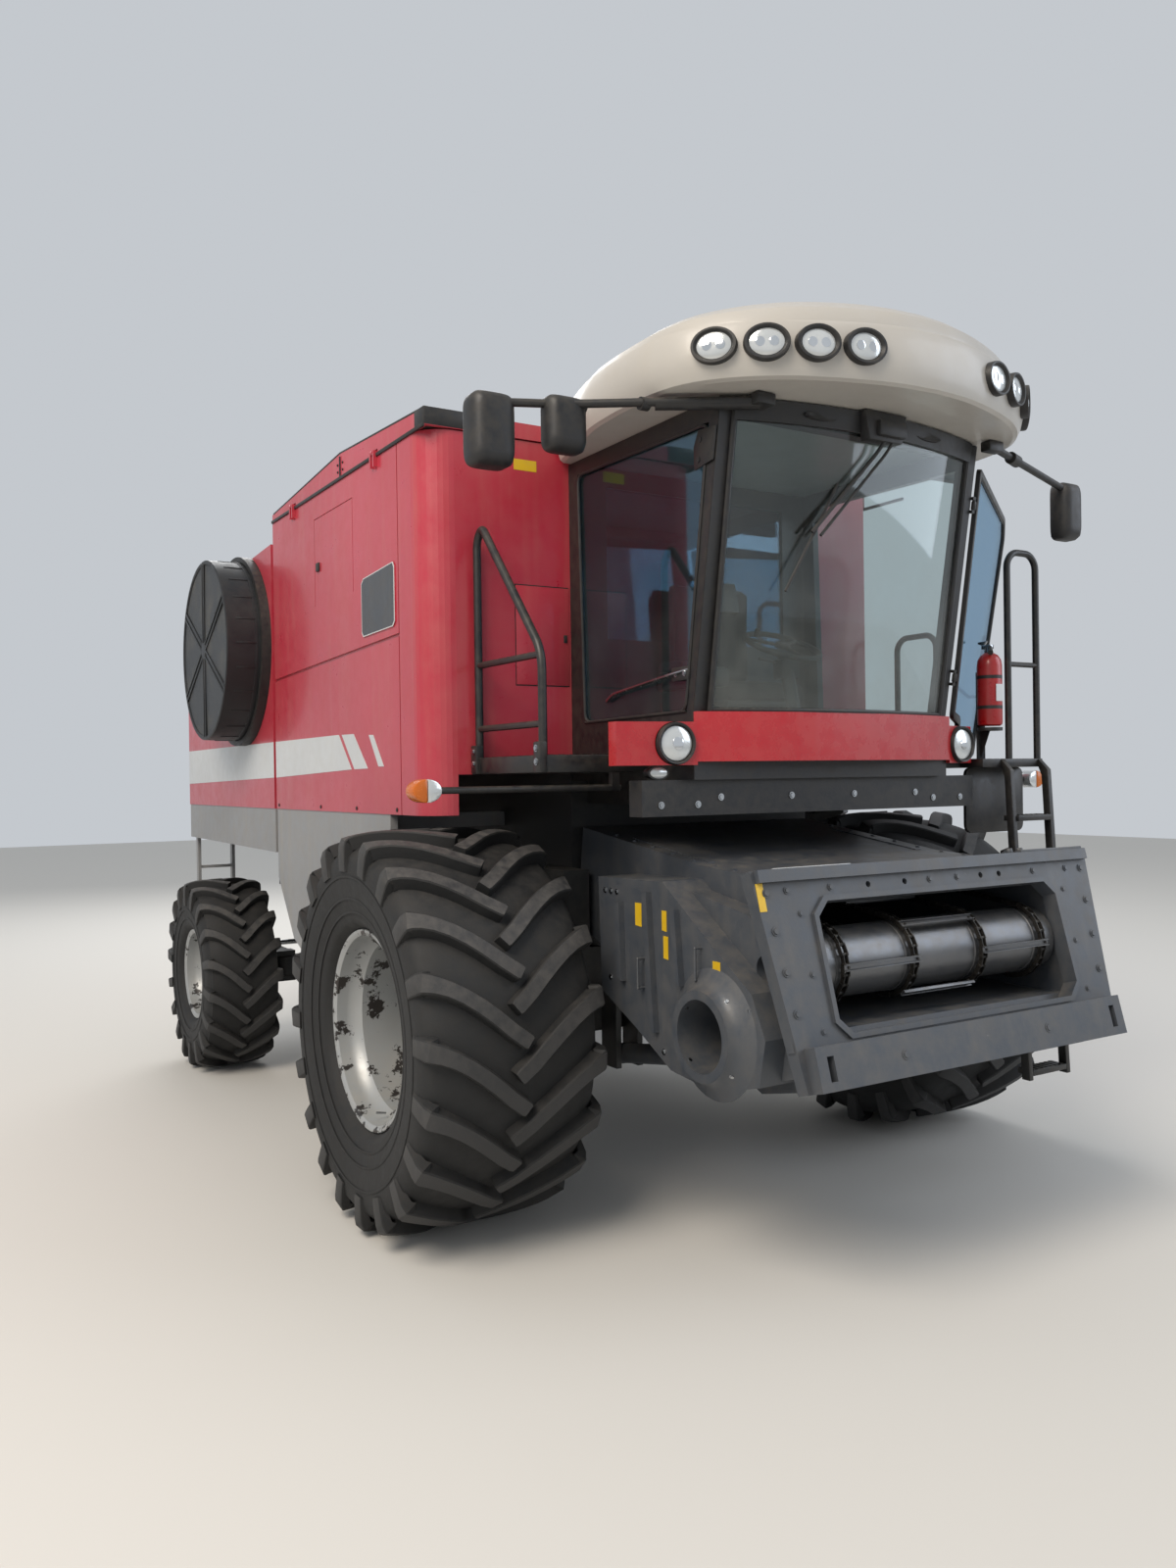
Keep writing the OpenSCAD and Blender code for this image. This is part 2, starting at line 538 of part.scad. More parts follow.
// door, drawn closed and then swung open about its leaning hinge
module cab_door() {
    edge = [[-880, 2400], [-860, cab_floor + 50], [cab_back - 140, cab_floor + 98], [cab_back - 105, cab_top - 160],
        [cab_back - 190, cab_top - 70], [-1290, cab_top - 90], [-1085, 2410]];
    pane = [[-850, 2436], [-828, cab_floor + 84], [cab_back - 170, cab_floor + 128], [cab_back - 137, cab_top - 172],
        [cab_back - 205, cab_top - 102], [-1250, cab_top - 122], [-1050, 2440]];
    color(dark) at_axle() translate(hinge_a) rotate(a = -door_open, v = hinge_v) translate(-hinge_a) {
        difference() {
            side_plate(cab_half + 6, 24, edge);
            side_plate(cab_half + 5, 26, pane);
        }
        side_plate(cab_half + 12, 8, pane);
        for (s = hinge_s) on_hinge(s) difference() {
            union() {
                translate([0, 0, -20]) cylinder(h = 40, r = 11, $fn = 24);
                translate([-8, 5, -20]) cube([16, 45, 40]);
            }
            translate([0, 0, -30]) cylinder(h = 60, r = 8.05, $fn = 24);
        }
    }
}

// roof: rings of one outline, wider at the brim, closed over the crown
roof_half_pts = [[400, -1790], [620, -1715], [790, -1625], [930, -1510], [1030, -1370], [1080, -1190], [1080, -900],
    [1045, -620], [970, -360], [880, tank_front_y - 20]];
function roof_ring(k, z) = [for (p = concat([[0, -1850]], roof_half_pts, [[0, tank_front_y - 20]],
    [for (i = [9 : -1 : 0]) [-roof_half_pts[i][0], roof_half_pts[i][1]]]))
    [p[0] * k * roof_half / 1080, (p[1] > -150 ? p[1] : -900 + (p[1] + 900) * k), z]];
module loft(rings) {
    n = len(rings[0]);
    m = len(rings);
    polyhedron(concat([for (r = rings) for (p = r) p]), concat([[for (k = [0 : n - 1]) k]],
        [for (j = [0 : m - 2]) for (k = [0 : n - 1]) [j * n + k, (j + 1) * n + k, (j + 1) * n + (k + 1) % n]],
        [for (j = [0 : m - 2]) for (k = [0 : n - 1]) [j * n + k, (j + 1) * n + (k + 1) % n, j * n + (k + 1) % n]],
        [[for (k = [n - 1 : -1 : 0]) (m - 1) * n + k]]));
}
// roof lamps: distance from the centre plane, place of the face, turn outwards
roof_lamps = [[400, -1797, 12], [600, -1735, 20], [790, -1640, 35], [950, -1500, 48]];
lamp_x = 0;
lamp_y = 1;
lamp_turn = 2;
module roof_lamp(r, depth, out) {
    both() for (l = roof_lamps) translate([-l[lamp_x] * roof_half / 1080, l[lamp_y], 3875])
        rotate([90, 0, -l[lamp_turn]]) translate([0, 0, -depth]) cylinder(h = depth + out, r = r, $fn = 40);
}
module cab_roof() {
    color("#d8d8d2") at_axle() difference() {
        loft([roof_ring(0.95, cab_top), roof_ring(0.985, cab_top + 40), roof_ring(1, 3860), roof_ring(0.985, 3960),
            roof_ring(0.93, 4060), roof_ring(0.8, 4140), roof_ring(0.6, 4180), roof_ring(0.3, 4195)]);
        roof_lamp(80, 60, 200);
    }
}

// seat, console, steering column and wheel
module operator_station() {
    color(dark) at_axle() {
        box(-150, 150, -560, -280, cab_floor, 2500);
        box(-260, 260, -700, -200, 2500, 2620);
        box(-250, 250, -270, -160, 2619, 3150);
        box(-440, -290, -760, -300, cab_floor, 2720);
        bar([0, -930, cab_floor + 30], [0, -800, 2755], 35);
        box(-60, 60, -970, -890, cab_floor, 2260);
        translate([0, -800, 2770]) rotate([25, 0, 0]) {
            rotate_extrude($fn = 48) translate([190, 0]) circle(r = 14, $fn = 20);
            translate([0, 0, -12]) cylinder(h = 24, r = 40, $fn = 32);
            for (a = [30, 150, 270]) rotate([0, 0, a]) translate([25, -12, -7]) cube([160, 24, 14]);
        }
    }
}

// red fascia under the windshield with a wing at each side
bumper_top = 2411;
wing_x = [1180, 1040];
headlight = [905, 2270, 95];
module cab_bumper() {
    color(red) at_axle() {
        flat_plan(cab_floor, bumper_top - cab_floor, concat([for (k = [-8 : 8]) [k * 100, -1150 - 115 * (1 - k * k / 64)]],
            [[800, -1125], [-800, -1125]]));
        for (s = [0, 1]) mirror([s, 0, 0]) difference() {
            flat_plan(2175, 190, [[-wing_x[s], -1020], [-wing_x[s], -1080], [-cab_half + 1, -1150], [-cab_half + 1, -1126],
                [-cab_half, -1126], [-cab_half, -1020]]);
            translate([-headlight[0], -1060, headlight[1]]) rotate([90, 0, 0])
                cylinder(h = 200, r = headlight[2] + 0.3, $fn = 40);
        }
    }
}

// lamps: roof lamps, headlights, work lamp, signal lamps, mirror lamp, beacon
signal = [1930, -750, 2080];
module lamps() {
    color("#d9dce0") at_axle() {
        roof_lamp(79.7, 60, 8);
        both() translate([-headlight[0], -1060, headlight[1]]) rotate([90, 0, 0])
            cylinder(h = 76, r = headlight[2], $fn = 40);
        box(-1010, -890, -1075, -1000, cab_floor - 80, 2175);
        both() translate([-signal[0], signal[1] + 45, signal[2]]) rotate([90, 0, 0]) cylinder(h = 90, r = 48, $fn = 32);
        translate([1185, -900, 3740]) cylinder(h = 140, r = 60, $fn = 32);
    }
}

// mirrors on their arms, the beacon bracket
module mirror_head(x0, x1, y0, y1, z0, z1) {
    c = 28;
    translate([0, y1, 0]) rotate([90, 0, 0]) linear_extrude(y1 - y0) polygon([[x0 + c, z0], [x1 - c, z0], [x1, z0 + c],
        [x1, z1 - c], [x1 - c, z1], [x0 + c, z1], [x0, z1 - c], [x0, z0 + c]]);
}
module mirrors() {
    color(dark) at_axle() {
        box(-710, -610, -1485, -1395, 3690, cab_top);
        bar([-660, -1450, 3712], [-1370, -1052, 3701], 18);
        bar([-1420, -1012, 3700], [-1720, -890, 3700], 18);
        mirror_head(-1770, -1570, -975, -835, 3430, 3740);
        mirror_head(-1470, -1280, -1075, -965, 3500, 3740);
        box(1000, 1240, -930, -870, 3700, cab_top);
        box(760, 860, -1460, -1400, 3690, cab_top);
        bar([820, -1430, 3715], [1690, -1200, 3650], 18);
        mirror_head(1600, 1760, -1265, -1150, 3380, 3690);
    }
}

// platforms at both sides of the cab with handrails; the ladder on the left
plate_z = 2230;
left_z = cab_floor + 5;
step_y = -1140;
module platforms() {
    color(dark) at_axle() {
        box(-1370, -cab_half, -770, tank_front_y, plate_z - 80, plate_z);
        tube([[-1350, -112, plate_z - 10], [-1350, -112, 3290], [-1350, -170, 3350], [-1350, -720, 2720],
            [-1350, -745, 2640], [-1350, -745, plate_z - 10]], 20);
        for (z = [2370, 2680]) bar([-1350, -112, z], [-1350, -735, z], 16);
        flat_plan(left_z - 45, 45, [[cab_half, tank_front_y], [1540, tank_front_y], [1540, step_y], [1060, step_y],
            [1060, -990], [cab_half, -990]]);
        tube([[1290, -1120, left_z - 10], [1290, -1120, 3250], [1340, -1120, 3300], [1470, -1120, 3300],
            [1520, -1120, 3250], [1520, -1120, left_z - 10]], 18);
        bar([1290, -1120, 2700], [1520, -1120, 2700], 14);
        tube([[1520, -420, left_z - 10], [1520, -420, 2900], [1520, -370, 2950], [1520, -160, 2950],
            [1520, -110, 2900], [1520, -110, left_z - 10]], 18);
        for (x = [1200, 1500]) translate([x, 0, 0]) rotate([90, 0, 90]) linear_extrude(30)
            polygon([[step_y, left_z - 44], [step_y, left_z - 1], [step_y - 60, left_z - 60], [step_y - 160, 520],
            [step_y - 110, 520], [step_y - 20, left_z - 90]]);
        for (k = [0 : 5]) box(1229, 1501, step_y - 158 + k * 14, step_y - 60 + k * 14, 540 + k * 265, 570 + k * 265);
        box(1080, 1540, -1010, -990, 1910, left_z - 44);
    }
}
module fire_extinguisher() {
    color("#c0202a") at_axle() translate([1197, -1075, left_z]) {
        cylinder(h = 520, r = 65, $fn = 40);
        cylinder(h = 600, r = 20, $fn = 24);
        translate([-20, -20, 590]) cube([40, 90, 40]);
    }
}
module signal_arms() {
    color(dark) at_axle() both() {
        bar([-signal[0] + 50, signal[1], signal[2]], [-950, signal[1], signal[2]], 15);
        box(-1000, -960, signal[1] - 15, signal[1] + 15, signal[2] - 15, cab_floor - 40);
        translate([-signal[0] + 51, signal[1], signal[2]]) rotate([0, -90, 0]) cylinder(h = 3, r = 30, $fn = 24);
    }
}

// feeder house, hollow, open at both ends
top_y = -1760;
top_z = 1754;
tilt = 15.6;
module on_adapter() { translate([0, top_y, top_z]) rotate([-tilt, 0, 0]) children(); }
function on_plate(y, z) = [top_y + y * cos(tilt) + z * sin(tilt), top_z - y * sin(tilt) + z * cos(tilt)];
drum_y = -1680;
drum_z = 1350;
bore = 35;
module feeder_house() {
    inside = feeder_half - feeder_wall;
    color(slate) at_axle() difference() {
        union() {
            side_plate(-feeder_half, 2 * feeder_half, [[-105, 1870], [-1090, 1730], on_plate(60.2, -50), on_plate(60.2, -870),
                [-1510, 800], [-1170, 940], [-620, 1170], [-125, 1330], [-72, 1560], [-72, 1640]]);
            for (x = [-lift_x - 70, -lift_x + 50, lift_x - 70, lift_x + 50])
                side_plate(x, 20, [[-1070, 1000], [-1090, 900], [-1130, 820], [-1180, 820], [-1210, 900], [-1230, 930]]);
        }
        side_plate(-inside, 2 * inside, [[0, 1830], [-1080, 1700], [-1700, 1650], [-2100, 1600], [-2100, 1140],
            [-1700, 1110], [-1250, 1120], [-640, 1240], [0, 1375]]);
        xcyl(-feeder_half - 1, -inside + 1, pivot_y, pivot_z, 45.06);
        xcyl(inside - 1, feeder_half + 1, pivot_y, pivot_z, 45.06);
        xcyl(-feeder_half - 1, feeder_half + 1, drum_y, drum_z, bore + 0.05);
    }
}

// header adapter frame on the front of the feeder house
plate_top = 1016;
plate_low = 935;
plate_h = 860;
beam_d = (front_overhang + top_y - plate_h * sin(tilt)) / cos(tilt);
function octagon(w, top, low, c) = [[-w + c, top], [w - c, top], [w, top - c], [w, low + c], [w - c, low],
    [-w + c, low], [-w, low + c], [-w, top - c]];
beam_holes = [-410, -200, 270, 390];
module adapter_frame() {
    color(slate) at_axle() on_adapter() difference() {
        union() {
            rotate([90, 0, 0]) translate([0, 0, -60]) linear_extrude(60) polygon([[-plate_top, 0], [plate_top, 0],
                [plate_low, -plate_h], [-plate_low, -plate_h]]);
            box(-plate_low + 20, plate_low - 20, -beam_d, 10, -plate_h, -690);
            box(-plate_top + 20, plate_top - 20, -25, 10, -50, 0);
            rotate([90, 0, 0]) linear_extrude(14) polygon(octagon(742, -118, -682, 68));
            for (x = [-plate_low - 20, plate_low - 10]) box(x, x + 30, 10, 50, -700, -80);
        }
        translate([0, 61, 0]) rotate([90, 0, 0]) linear_extrude(80) polygon(octagon(720, -140, -660, 60));
        for (x = beam_holes) translate([x, 61, -85]) rotate([90, 0, 0]) cylinder(h = 70, r = 13, $fn = 24);
        both() box(830, 864, -beam_d - 1, -beam_d + 45, -825, -730);
    }
}

// front drum of the feeder with its shaft
module feeder_drum() {
    inside = feeder_half - feeder_wall;
    color("#9a9d9f") at_axle() {
        xcyl(-inside + 25, inside - 25, drum_y, drum_z, drum_r);
        xcyl(-feeder_half - 20, feeder_half + 20, drum_y, drum_z, bore);
    }
}

// chain strands with slats round the drum and the rear sprocket shaft
shaft_y = -330;
shaft_z = 1590;
function arc_pts(c, r, a0, a1, n) = [for (k = [0 : n]) c + r * [cos(a0 + (a1 - a0) * k / n), sin(a0 + (a1 - a0) * k / n)]];
function loop_pts(c1, r1, c2, r2) = let (d = c1 - c2, a = atan2(d[1], d[0]), b = acos((r1 - r2) / norm(d)))
    concat(arc_pts(c1, r1, a - b, a + b, 20), arc_pts(c2, r2, a + b, a + 360 - b, 20));
strands = [-620, -230, 190, 580];
// bars round the drum: strand where a bar starts, angle over the drum
drum_bars = [[0, 178], [2, 178], [1, 128], [1, 232]];
module feeder_chain() {
    inside = feeder_half - feeder_wall;
    c1 = [drum_y, drum_z];
    c2 = [shaft_y, shaft_z];
    color(dark) at_axle() {
        for (x = strands) difference() {
            side_plate(x, 40, loop_pts(c1, drum_r + 26, c2, 106));
            side_plate(x - 1, 42, loop_pts(c1, drum_r + 6, c2, 86));
        }
        for (x = strands) xcyl(x + 5, x + 35, shaft_y, shaft_z, 87);
        xcyl(-inside, inside, shaft_y, shaft_z, 30);
        a = atan2(c1[1] - c2[1], c1[0] - c2[0]);
        for (k = [0 : 3], s = [-1, 1]) {
            t = 0.12 + k * 0.23;
            m = c2 + (c1 - c2) * t + [s * sin(a), -s * cos(a)] * -(102 + 70 * t);
            for (j = [k % 2 : 2 : 2]) translate([strands[j], m[0], m[1]]) rotate([a, 0, 0])
                translate([0, -15, -14]) cube([430, 30, 28]);
        }
        for (b = drum_bars) translate([strands[b[0]], drum_y, drum_z]) rotate([b[1] - 180, 0, 0])
            translate([0, -drum_r - 40, -12]) cube([430, 24, 24]);
    }
}

// drive shield on the right side of the feeder house with the round duct
shield_w = half_width - front_tyre_w - feeder_half - 145;
duct = [-1480, 1070, 150];
// raised ribs: top y, top z, low y, low z
shield_ribs = [[-800, 1560, -812, 1200], [-1020, 1620, -1070, 1010], [-1230, 1560, -1262, 1240]];
shield_handles = [[-975, 1255], [-1400, 1350]];
module drive_shield() {
    face = -feeder_half - shield_w;
    color(slate) at_axle() {
        difference() {
            union() {
                side_plate(face, shield_w, [[-600, 1660], [-1120, 1670], [-1470, 1430], [-1720, 1270], [-1800, 1100],
                    [-1760, 910], [-1480, 830], [-1170, 860], [-900, 1000], [-620, 1130]]);
                side_plate(-feeder_half - 110, 110, [[-1090, 1640], [-1560, 1560], on_plate(62, -300),
                    on_plate(62, -800), [-1480, 840], [-1170, 880]]);
                for (r = shield_ribs) side_plate(face - 30, 31, [[r[0] - 17, r[1]], [r[0] + 17, r[1] - 20],
                    [r[2] + 17, r[3] + 20], [r[2] - 17, r[3]]]);
                for (h = shield_handles) tube([[face + 5, h[0], h[1] + 65], [face - 35, h[0], h[1] + 65],
                    [face - 35, h[0], h[1] - 65], [face + 5, h[0], h[1] - 65]], 6);
            }
            xcyl(face - 1, -feeder_half - 60, duct[0], duct[1], duct[2]);
            xcyl(-feeder_half - 111, -feeder_half + 1, drum_y, drum_z, 60);
        }
        xring(face - 80, face + 60, duct[0], duct[1], duct[2] + 35, duct[2]);
    }
}

// lift cylinders between the axle and the feeder house
lift_len = norm(lift_eye - lift_base);
lift_a = atan2(lift_eye[1] - lift_base[1], lift_eye[0] - lift_base[0]);
module along_lift(x) {
    translate([x, lift_base[0], lift_base[1]]) rotate([lift_a - 180, 0, 0]) rotate([90, 0, 0]) children();
}
barrel_l = 560;
module lift_barrels() {
    color(slate) at_axle() for (x = [-lift_x, lift_x]) along_lift(x) difference() {
        union() {
            translate([-40, 0, 0]) rotate([0, 90, 0]) cylinder(h = 80, r = 52, $fn = 40);
            translate([0, 0, 30]) cylinder(h = barrel_l - 30, r = 50, $fn = 40);
        }
        translate([-41, 0, 0]) rotate([0, 90, 0]) cylinder(h = 82, r = 30.05, $fn = 40);
        translate([0, 0, 90]) cylinder(h = barrel_l, r = 30.05, $fn = 40);
    }
}
module lift_rods() {
    color("#d0d3d6") at_axle() for (x = [-lift_x, lift_x]) along_lift(x) {
        translate([0, 0, 340]) cylinder(h = lift_len - 340 - 20, r = 30, $fn = 40);
        translate([-35, 0, lift_len]) rotate([0, 90, 0]) cylinder(h = 70, r = 42, $fn = 40);
    }
}

chassis();
separator_housing();
grain_tank();
tank_front();
front_side_panels();
rear_side_panels();
lower_skirts();
rear_hood();
engine();
screen_housing();
rotary_screen();
straw_chopper();
rear_ladder();
tank_cover_right();
tank_cover_left();
auger_turret();
unloading_auger();
rear_axle();
knuckle_right();
knuckle_left();
tie_rod();
rim_front_right();
rim_front_left();
rim_rear_right();
rim_rear_left();
tyre_front_right();
tyre_front_left();
tyre_rear_right();
tyre_rear_left();
cab_floor_frame();
cab_frame();
cab_roof();
cab_glass();
cab_door();
operator_station();
cab_bumper();
lamps();
mirrors();
platforms();
fire_extinguisher();
signal_arms();
feeder_house();
adapter_frame();
feeder_drum();
feeder_chain();
drive_shield();
lift_barrels();
lift_rods();
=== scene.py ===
import json
from math import acos, atan2, copysign, cos, pi, radians, sin, tan

import bmesh
import bpy
from mathutils import Matrix, Vector


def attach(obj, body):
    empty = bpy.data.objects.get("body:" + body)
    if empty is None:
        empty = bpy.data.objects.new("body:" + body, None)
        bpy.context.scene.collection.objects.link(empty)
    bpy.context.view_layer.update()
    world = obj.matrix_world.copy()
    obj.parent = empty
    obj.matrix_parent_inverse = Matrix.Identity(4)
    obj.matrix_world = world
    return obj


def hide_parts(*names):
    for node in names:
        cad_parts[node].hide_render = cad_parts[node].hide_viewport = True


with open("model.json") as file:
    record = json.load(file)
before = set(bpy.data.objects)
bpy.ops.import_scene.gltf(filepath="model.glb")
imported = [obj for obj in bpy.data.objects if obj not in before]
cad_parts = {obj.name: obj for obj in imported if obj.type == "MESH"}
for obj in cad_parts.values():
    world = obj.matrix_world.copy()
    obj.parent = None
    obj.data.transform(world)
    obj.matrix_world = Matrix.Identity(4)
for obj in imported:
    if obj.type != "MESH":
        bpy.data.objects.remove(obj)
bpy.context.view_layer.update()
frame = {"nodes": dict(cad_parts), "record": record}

# every y below is measured from the front axle, which lies here in the frame
axleY = -1.6

cameraSet = {"place": (-3.919, -5.322 + axleY, 2.128), "yaw": 31.46, "pitch": -0.33, "roll": -0.82, "lens": 27.09,
             "sensor": 36, "reach": 200}


def makeCamera(s):
    yaw, pitch, roll = (radians(s[k]) for k in ("yaw", "pitch", "roll"))
    ahead = Vector((sin(yaw) * cos(pitch), cos(yaw) * cos(pitch), sin(pitch)))
    right = Vector((cos(yaw), -sin(yaw), 0))
    up = right.cross(ahead)
    right, up = cos(roll) * right + sin(roll) * up, -sin(roll) * right + cos(roll) * up
    data = bpy.data.cameras.new("camera")
    data.lens, data.sensor_width, data.sensor_fit, data.clip_end = s["lens"], s["sensor"], "AUTO", s["reach"]
    camera = bpy.data.objects.new("camera", data)
    camera.matrix_world = Matrix.Translation(s["place"]) @ Matrix((right, up, -ahead)).transposed().to_4x4()
    bpy.context.scene.collection.objects.link(camera)
    bpy.context.scene.camera = camera


makeCamera(cameraSet)
print("camera placed")


def srgb(code):
    parts = [int(code[i:i + 2], 16) / 255 for i in (1, 3, 5)]
    return tuple(c / 12.92 if c <= 0.04045 else ((c + 0.055) / 1.055) ** 2.4 for c in parts) + (1,)


def addNode(tree, kind, links=None, **values):
    node = tree.nodes.new(kind)
    for key, value in values.items():
        if hasattr(node, key):
            setattr(node, key, value)
        else:
            node.inputs[key.replace("_", " ")].default_value = value
    for key, source in (links or {}).items():
        tree.links.new(source, node.inputs[key])
    return node


def mixColor(tree, factor, a, b):
    node = addNode(tree, "ShaderNodeMix", data_type="RGBA", blend_type="MIX")
    for index, value in ((0, factor), (6, a), (7, b)):
        if isinstance(value, tuple):
            node.inputs[index].default_value = value
        else:
            tree.links.new(value, node.inputs[index])
    return node.outputs[2]


def ramp(tree, source, low, high, bottom=0.0, top=1.0):
    node = addNode(tree, "ShaderNodeValToRGB", {"Fac": source})
    for element, place, value in zip(node.color_ramp.elements, (low, high), (bottom, top)):
        element.position = place
        element.color = (value, value, value, 1)
    return node.outputs[0]


def clouds(tree, coords, scale, detail, rough=0.5):
    noise = addNode(tree, "ShaderNodeTexNoise", {"Vector": coords}, Scale=scale, Detail=detail, Roughness=rough)
    return noise.outputs[0]


def mapped(tree, source, toLow, toHigh, low=0.0, high=1.0):
    return addNode(tree, "ShaderNodeMapRange", {"Value": source}, From_Min=low, From_Max=high, To_Min=toLow,
                   To_Max=toHigh).outputs[0]


def compute(tree, operation, a, b=None):
    node = addNode(tree, "ShaderNodeMath", {0: a}, operation=operation)
    if isinstance(b, float):
        node.inputs[1].default_value = b
    elif b is not None:
        tree.links.new(b, node.inputs[1])
    return node.outputs[0]


def relief(tree, height, strength, distance):
    return addNode(tree, "ShaderNodeBump", {"Height": height}, Strength=strength, Distance=distance).outputs[0]


def newMaterial(name):
    mat = bpy.data.materials.new(name)
    mat.use_nodes = True
    mat.node_tree.nodes.clear()
    return mat, mat.node_tree, addNode(mat.node_tree, "ShaderNodeTexCoord").outputs["Object"]


def surface(name, base, shade, rough, metal=0.0, grain=6.0, dust=0.25, dustColor="#a8997f", chips=0.0,
            chipColor="#4a3a30", coat=0.0, bump=0.02, streak=0.0, fine=90.0):
    mat, tree, coords = newMaterial(name)
    small = clouds(tree, coords, grain * 4, 8.0, 0.65)
    color = mixColor(tree, ramp(tree, clouds(tree, coords, grain * 0.35, 5.0), 0.3, 0.7), srgb(base), srgb(shade))
    if streak:
        tall = addNode(tree, "ShaderNodeMapping", {"Vector": coords}, Scale=(14.0, 14.0, 0.8)).outputs[0]
        runs = ramp(tree, clouds(tree, tall, 1.0, 6.0), 0.5, 0.75)
        color = mixColor(tree, compute(tree, "MULTIPLY", runs, streak), color, srgb(dustColor))
    normal = addNode(tree, "ShaderNodeNewGeometry").outputs["Normal"]
    upward = addNode(tree, "ShaderNodeSeparateXYZ", {"Vector": normal}).outputs["Z"]
    lying = mapped(tree, upward, dust * 0.35, dust * 1.6, -0.2, 1.0)
    color = mixColor(tree, compute(tree, "MULTIPLY", lying, ramp(tree, small, 0.35, 0.72)), color, srgb(dustColor))
    links = {"Roughness": mapped(tree, small, max(rough - 0.07, 0.02), min(rough + 0.12, 1.0), 0.3, 0.7)}
    if chips:
        edge = 0.72 - chips * 0.25
        chipMask = ramp(tree, clouds(tree, coords, grain * 5, 10.0, 0.7), edge, edge + 0.02)
        color = mixColor(tree, chipMask, color, srgb(chipColor))
        links["Metallic"] = mapped(tree, chipMask, metal, metal * 0.3)
    links.update({"Base Color": color, "Normal": relief(tree, clouds(tree, coords, fine, 4.0), bump * 5, 0.003)})
    shader = addNode(tree, "ShaderNodeBsdfPrincipled", links, Metallic=metal, Coat_Weight=coat, Coat_Roughness=0.12)
    addNode(tree, "ShaderNodeOutputMaterial", {"Surface": shader.outputs[0]})
    return mat


def mixShader(tree, factor, a, b):
    return addNode(tree, "ShaderNodeMixShader", {0: factor, 1: a, 2: b}).outputs[0]


# glass as a mix of clear and mirrored, with dust that fades with height; shine is what it mirrors face on
def glassSurface(name, tint, clear, dust, gloss="#ffffff", shine=0.04):
    mat, tree, coords = newMaterial(name)
    height = addNode(tree, "ShaderNodeSeparateXYZ", {"Vector": coords}).outputs["Z"]
    low = mapped(tree, height, 1.0, 0.15, 2.45, 3.3)
    grime = compute(tree, "MULTIPLY", ramp(tree, clouds(tree, coords, 2.6, 7.0, 0.6), 0.35, 0.75, 0.1), low)
    through = addNode(tree, "ShaderNodeBsdfTransparent", Color=srgb(tint)).outputs[0]
    mirror = addNode(tree, "ShaderNodeBsdfGlossy", Color=srgb(gloss), Roughness=0.03).outputs[0]
    facing = addNode(tree, "ShaderNodeLayerWeight", Blend=0.5).outputs["Facing"]
    glass = mixShader(tree, mapped(tree, compute(tree, "POWER", facing, 5.0), shine, 1.0), through, mirror)
    film = addNode(tree, "ShaderNodeBsdfDiffuse", Color=srgb("#b3b3ae")).outputs[0]
    mixed = mixShader(tree, mapped(tree, grime, 1 - clear, 1 - clear + dust), glass, film)
    addNode(tree, "ShaderNodeOutputMaterial", {"Surface": mixed})
    return mat


def meshSurface(name, dark, light, scale):
    mat, tree, coords = newMaterial(name)
    split = addNode(tree, "ShaderNodeSeparateXYZ", {"Vector": coords})
    waves = [compute(tree, "SINE", compute(tree, "MULTIPLY", split.outputs[axis], scale)) for axis in ("Y", "Z")]
    weave = compute(tree, "MAXIMUM", *waves)
    color = mixColor(tree, ramp(tree, weave, 0.55, 0.8), srgb(dark), srgb(light))
    dirt = ramp(tree, clouds(tree, coords, 5.0, 6.0), 0.45, 0.8, 0.0, 0.4)
    links = {"Base Color": mixColor(tree, dirt, color, srgb("#6d6658")), "Normal": relief(tree, weave, 0.6, 0.002)}
    shader = addNode(tree, "ShaderNodeBsdfPrincipled", links, Roughness=0.55)
    addNode(tree, "ShaderNodeOutputMaterial", {"Surface": shader.outputs[0]})
    return mat


redPaint = surface("red_paint_faded", "#a82536", "#b53446", 0.33, grain=2.2, dust=0.10, coat=0.35, streak=0.08,
                   bump=0.004)
redGloss = surface("red_paint_gloss", "#b3121f", "#a00f1b", 0.25, grain=3, dust=0.12, coat=0.5, bump=0.003)
greyPaint = surface("silver_grey_paint", "#8b8d90", "#7b7d80", 0.42, grain=2.5, dust=0.3, streak=0.15, bump=0.006)
stripePaint = surface("silver_stripe_film", "#c9cccd", "#bcbfc1", 0.35, grain=3, dust=0.15, bump=0.004)
slatePaint = surface("slate_paint_worn", "#42474e", "#3a3f46", 0.42, grain=3.0, dust=0.12, chips=0.05,
                     chipColor="#6f6d68", streak=0.05)
framePaint = surface("dark_frame_paint_dusty", "#181a1d", "#222528", 0.55, grain=4, dust=0.16, dustColor="#8c857a")
blackPaint = surface("black_satin_paint", "#131416", "#1b1c1f", 0.38, grain=5, dust=0.10)
blackPlastic = surface("black_plastic_matt", "#17181a", "#202124", 0.48, grain=6, dust=0.09, bump=0.02)
screenPaint = surface("black_screen_drum", "#101215", "#181b1f", 0.45, grain=4, dust=0.07, dustColor="#77736c")
creamPlastic = surface("cream_roof_plastic", "#b6b2ab", "#aaa69f", 0.38, grain=2, dust=0.12, coat=0.2, bump=0.003)
rimPaint = surface("silver_rim_chipped", "#a9acad", "#8f9293", 0.38, metal=0.35, grain=1.7, dust=0.2, chips=0.69,
                   chipColor="#2b2725")
rubber = surface("tyre_rubber_dusty", "#161718", "#1e1f20", 0.7, grain=4, dust=0.1, dustColor="#6c655d", bump=0.05)
lugRubber = surface("tyre_lug_worn", "#2b2c2d", "#363637", 0.68, grain=5, dust=0.2, dustColor="#868079", bump=0.05)
